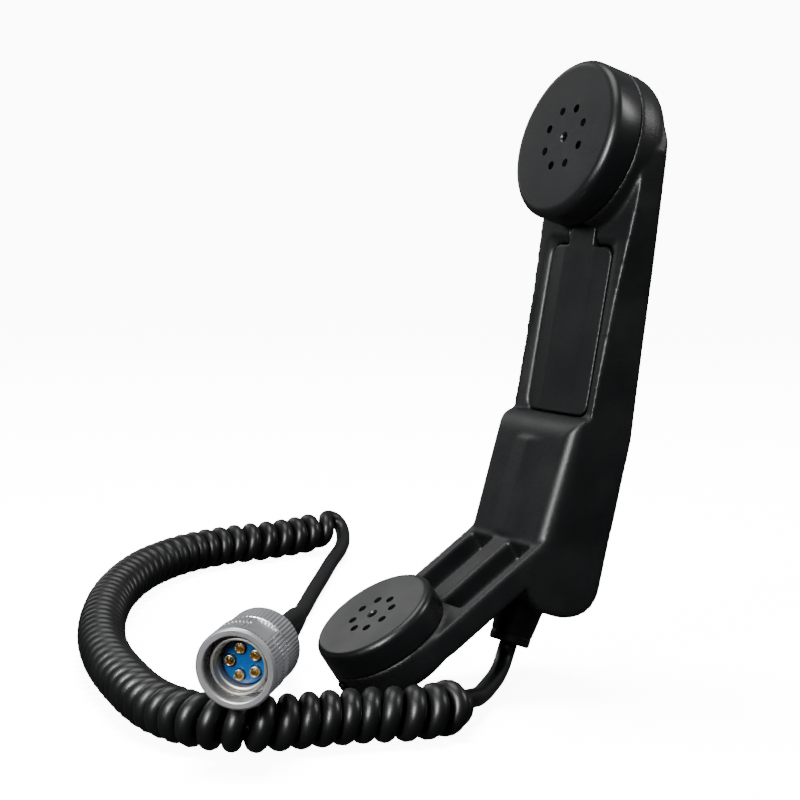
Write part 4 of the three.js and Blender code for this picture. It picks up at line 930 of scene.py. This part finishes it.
ring_outside = (
    [(9.4, -14.4), (11.9, -14.4), (12.35, -14.1)]
    + stepped(RING_R, -13.8, -9.2)
    + [(12.2, -8.9), (12.2, -8.2), (RING_R, -7.9)]
    + stepped(RING_R, -7.6, -1.0)
    + [(RING_R, -0.75), (12.35, -0.35), (11.95, -0.05)]
    + [(11.9, 0.0), (10.5, 0.0), (10.25, -0.2), (10.2, -0.5), (10.2, -2.0), (10.9, -2.05)]
    + [(10.9, -12.35), (9.4, -12.4)]
)
ring = lathe("coupling_ring_turned", ring_outside, KNURL_STEPS, closed=True)
run_tree(ring, knurl_tree, {
    "Teeth": float(TEETH), "Depth": KNURL_DEPTH, "Outer": RING_R * MM, "Band start": -13.85 * MM,
    "Band end": -0.9 * MM, "Flat distance": 11.75 * MM, "Flat phase": FLATS_AT,
    "Flat start": -13.4 * MM, "Flat end": -2.2 * MM, "Material": satin_aluminium,
})
lay(ring, PLUG, 24.0)
settle(ring, "coupling_ring", "satin_alloy", "coupling_ring")

shell_outside = [
    (9.3, -15.8), (11.5, -15.8), (11.9, -16.0), (BACKSHELL_R, -16.3), (BACKSHELL_R, -25.9),
    (11.75, -26.3), (11.6, -26.6), (8.5, -30.2), (8.3, -30.3), (4.9, -30.3), (4.9, -26.4),
    (9.3, -23.2),
]
backshell = lathe("backshell_turned", shell_outside, KNURL_STEPS, closed=True)
run_tree(backshell, knurl_tree, {
    "Teeth": float(TEETH), "Depth": KNURL_DEPTH, "Outer": BACKSHELL_R * MM,
    "Band start": -25.4 * MM, "Band end": -16.2 * MM, "Material": satin_aluminium,
})
lay(backshell, PLUG, 24.0)
settle(backshell, "handset", "satin_alloy", "plug_backshell")

# %% [markdown]
# Inside the plug's mouth
#
# Looking into the mouth there is a nickel shell with a stepped rim, and in it the blue insert.
# Five gold sockets stand proud of the insert in a ring, each in a bore a little wider than itself.
# The sockets repeat, so one is turned and Geometry Nodes set it round the ring.

# %% Shell, insert and contacts
shell = lay(lathe("plug_shell_turned", rounded([
    (7.4, -21.9), (8.95, -21.9), (8.95, -12.2), (10.45, -12.2), (10.45, -10.7), (8.95, -10.7),
    (8.95, -3.5), (8.7, -3.05), (8.15, -3.0), (7.95, -3.3), (7.95, -6.0), (7.4, -6.25),
], 0.12), 120, closed=True), PLUG)
wear(shell, blasted_nickel)
settle(shell, "handset", "grey_plate", "plug_shell")

scatter_tree, given = tree_with("set_round_a_ring", [
    ("Count", "NodeSocketInt"), ("Ring radius", "NodeSocketFloat"), ("Phase", "NodeSocketFloat"),
    ("Material", "NodeSocketMaterial"),
])
copies = add(scatter_tree, "GeometryNodeInstanceOnPoints", None, {
    "Points": ring_of_points(scatter_tree, given), "Instance": given["Geometry"],
})
end_tree(scatter_tree, copies.outputs["Instances"], given["Material"])

CONTACTS = 5
CONTACT_RING_R = 4.4
CONTACT_PHASE = math.radians(32.0)
insert = lay(lathe("insert_moulding", rounded([
    (0.0, -17.9), (7.05, -17.9), (7.05, -9.25), (6.8, -9.0), (5.5, -8.95), (0.0, -8.9),
], 0.1), 96), Matrix.Identity(4))
bores = lathe("insert_bores", [(0.0, -30.0), (1.95, -30.0), (1.95, 5.0), (0.0, 5.0)], 36)
run_tree(bores, scatter_tree, {
    "Count": CONTACTS, "Ring radius": CONTACT_RING_R * MM, "Phase": CONTACT_PHASE,
    "Material": blue_insert,
})
cut(insert, bores)
lay(insert, PLUG)
wear(insert, blue_insert)
settle(insert, "handset", "blue_insert", "plug_insert")

contact_section = rounded([
    (0.0, -19.8), (1.7, -19.8), (1.7, -7.75), (1.55, -7.6), (1.25, -7.6), (1.1, -7.85),
    (1.1, -12.9), (0.0, -12.9),
], 0.08)
contacts = lathe("contact_sockets", contact_section, 36)
run_tree(contacts, scatter_tree, {
    "Count": CONTACTS, "Ring radius": CONTACT_RING_R * MM, "Phase": CONTACT_PHASE,
    "Material": gold_plate,
})
lay(contacts, PLUG)
settle(contacts, "handset", "gold_contact", *[f"plug_contact_{k + 1}" for k in range(CONTACTS)])

# %% [markdown]
# The back of the plug
#
# Behind the backshell a black nut squeezes a rubber gland onto the cord, and a short tapered
# boot keeps the cord from bending sharply there. The nut has three grooves round it.

# %% Nut and boot
nut_profile = [(5.0, -36.45), (6.3, -36.45), (6.6, -36.2)]
for k in range(3):
    z = -35.6 + 1.75 * k
    nut_profile += [(6.6, z), (6.1, z + 0.2), (6.1, z + 0.55), (6.6, z + 0.75)]
nut_profile += [(6.6, -30.9), (6.3, -30.65), (5.0, -30.65)]
nut = lay(lathe("gland_nut_moulding", nut_profile, 96, closed=True), PLUG)
wear(nut, boot_rubber)
settle(nut, "handset", "nut_plastic", "plug_nut")

tail_boot = lay(lathe("plug_boot_moulding", rounded([
    (3.5, -45.5), (4.1, -45.5), (4.6, -36.5), (4.6, -28.5), (3.5, -28.5),
], 0.25), 64, closed=True), PLUG)
wear(tail_boot, boot_rubber)
settle(tail_boot, "handset", "boot_rubber", "plug_boot")

# %% [markdown]
# What stays as CAD
#
# Parts that sit behind the holes or under the bar already have the right shape, so they keep
# their CAD mesh and only get their finish: the two capsules, their gaskets and terminals, the
# sealed switch with its plate and screws, the hinge pin and the parts inside the heel.

# %% Finishes for the CAD nodes
for end in ("ear", "mouth"):
    # The capsules take the near-black that stands for shade inside the sound holes.
    keep_node(f"{end}_capsule", capsule_painted_dark)
    keep_node(f"{end}_gasket", gasket_rubber)
    keep_node(f"{end}_terminal_left", spring_bronze)
    keep_node(f"{end}_terminal_right", spring_bronze)
for k in range(1, 5):
    keep_node(f"plate_screw_{k}", stamped_steel)
keep_node("switch_plate", stamped_steel)
keep_node("switch_seal", gasket_rubber)
keep_node("switch_body", switch_pbt)
keep_node("switch_plunger", plunger_nylon)
keep_node("ptt_pin", stamped_steel)
keep_node("cord_clamp", stamped_steel)
keep_node("cord_end", pvc_jacket)
keep_node("plug_spacer", gasket_rubber)
print("CAD nodes dressed")

# %% [markdown]
# Dressing the cord
#
# The cord gets its jacket finish and hangs from the handset. It replaces the three plain solids
# that stood for it in CAD, which are hidden.

# %% Cord
wear(cord, pvc_jacket)
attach(cord, "handset")
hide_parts("cord_lead", "cord_coil", "cord_tail")

# %% [markdown]
# The studio
#
# Black plastic on white is lit by what it reflects. A seamless white sweep stands behind and
# below: it is bright to the camera but is kept out of the reflections, or its glare would turn
# the black sides grey. A dim sky that darkens towards the ground fills the shadows. One tall
# light in front gives the rims their line, one above models the cord, a weak one at the left
# lifts the faces of the caps, and one behind picks out the ear cup's side. A small card near the
# plug brightens its metal. The last lamp lights the floor alone, so that the cord and the cups
# keep their soft contact shadows on it.

# %% Sweep, sky and lights
SWEEP = [(0.0, 0.0), (1.6, 0.0), (2.0, 0.04), (2.3, 0.16), (2.5, 0.4), (2.6, 0.8), (2.6, 2.6)]
sweep = lathe("studio_sweep", [(r / MM, z / MM) for r, z in SWEEP], 96)
sweep.data.transform(Matrix.Translation((0.0, 0.0, FLOOR_Z)))
for face in sweep.data.polygons:
    face.use_smooth = True
paper = bpy.data.materials.new("matt_white_paper_sweep")
paper.use_nodes = True
paper.node_tree.nodes.clear()
paper_where = add(paper.node_tree, "ShaderNodeTexCoord")
paper_tooth = add(paper.node_tree, "ShaderNodeTexNoise", None, {
    "Vector": paper_where.outputs["Object"], "Scale": 3.0, "Detail": 2.0,
})
paper_shade = add(paper.node_tree, "ShaderNodeMix", {"data_type": "RGBA"}, {
    0: paper_tooth.outputs["Fac"], 6: paint("f2f2f2"), 7: paint("f8f8f8"),
})
paper_surface = add(paper.node_tree, "ShaderNodeBsdfPrincipled", None, {
    "Base Color": paper_shade.outputs[2], "Roughness": 0.9, "Specular IOR Level": 0.1,
    "Emission Color": paint("ffffff"), "Emission Strength": 10.0,
})
add(paper.node_tree, "ShaderNodeOutputMaterial", None, {"Surface": paper_surface.outputs["BSDF"]})
wear(sweep, paper)
sweep.visible_diffuse = False
sweep.visible_glossy = False
sweep.visible_shadow = False

sky = bpy.data.worlds.new("dim_studio_sky")
bpy.context.scene.world = sky
sky.use_nodes = True
sky.node_tree.nodes.clear()
sky_where = add(sky.node_tree, "ShaderNodeTexCoord")
sky_axes = add(sky.node_tree, "ShaderNodeSeparateXYZ", None, {
    "Vector": sky_where.outputs["Generated"],
})
sky_level = add(sky.node_tree, "ShaderNodeMapRange", {"interpolation_type": "SMOOTHSTEP"}, {
    "Value": sky_axes.outputs["Z"], "From Min": -0.25, "From Max": 0.7,
    "To Min": 0.04, "To Max": 0.22,
})
sky_light = add(sky.node_tree, "ShaderNodeBackground", None, {
    "Color": paint("fbfcff"), "Strength": sky_level.outputs["Result"],
})
add(sky.node_tree, "ShaderNodeOutputWorld", None, {"Surface": sky_light.outputs["Background"]})

AIM = Vector((-0.05, -0.06, -0.02))


def softbox(name, direction, distance, size, power, aim=AIM):
    data = bpy.data.lights.new(name, "AREA")
    data.shape = "RECTANGLE"
    data.size, data.size_y = size
    data.energy = power
    made = bpy.data.objects.new(name, data)
    made.location = aim + Vector(direction).normalized() * distance
    made.rotation_euler = (aim - made.location).to_track_quat("-Z", "Y").to_euler()
    made.visible_camera = False
    bpy.context.scene.collection.objects.link(made)
    return made


softbox("front_softbox", (0.5, -0.8, 0.35), 1.3, (0.25, 0.6), 19.0)
softbox("top_softbox", (-0.1, -0.1, 1.0), 1.2, (0.9, 0.7), 8.0)
softbox("left_softbox", (-0.85, -0.1, 0.42), 1.4, (0.6, 0.8), 1.8)
softbox("back_softbox", (0.42, 0.7, 0.57), 1.4, (0.3, 0.5), 5.0)
softbox("plug_card", (0.3, -0.75, 0.6), 0.5, (0.5, 0.4), 2.4, PLUG_AT)
floor_lamp = softbox("floor_lamp", (-0.2, 0.1, 1.0), 1.3, (0.5, 0.5), 110.0)
floor_only = bpy.data.collections.new("floor_only")
floor_only.objects.link(sweep)
floor_lamp.light_linking.receiver_collection = floor_only
print("studio ready")
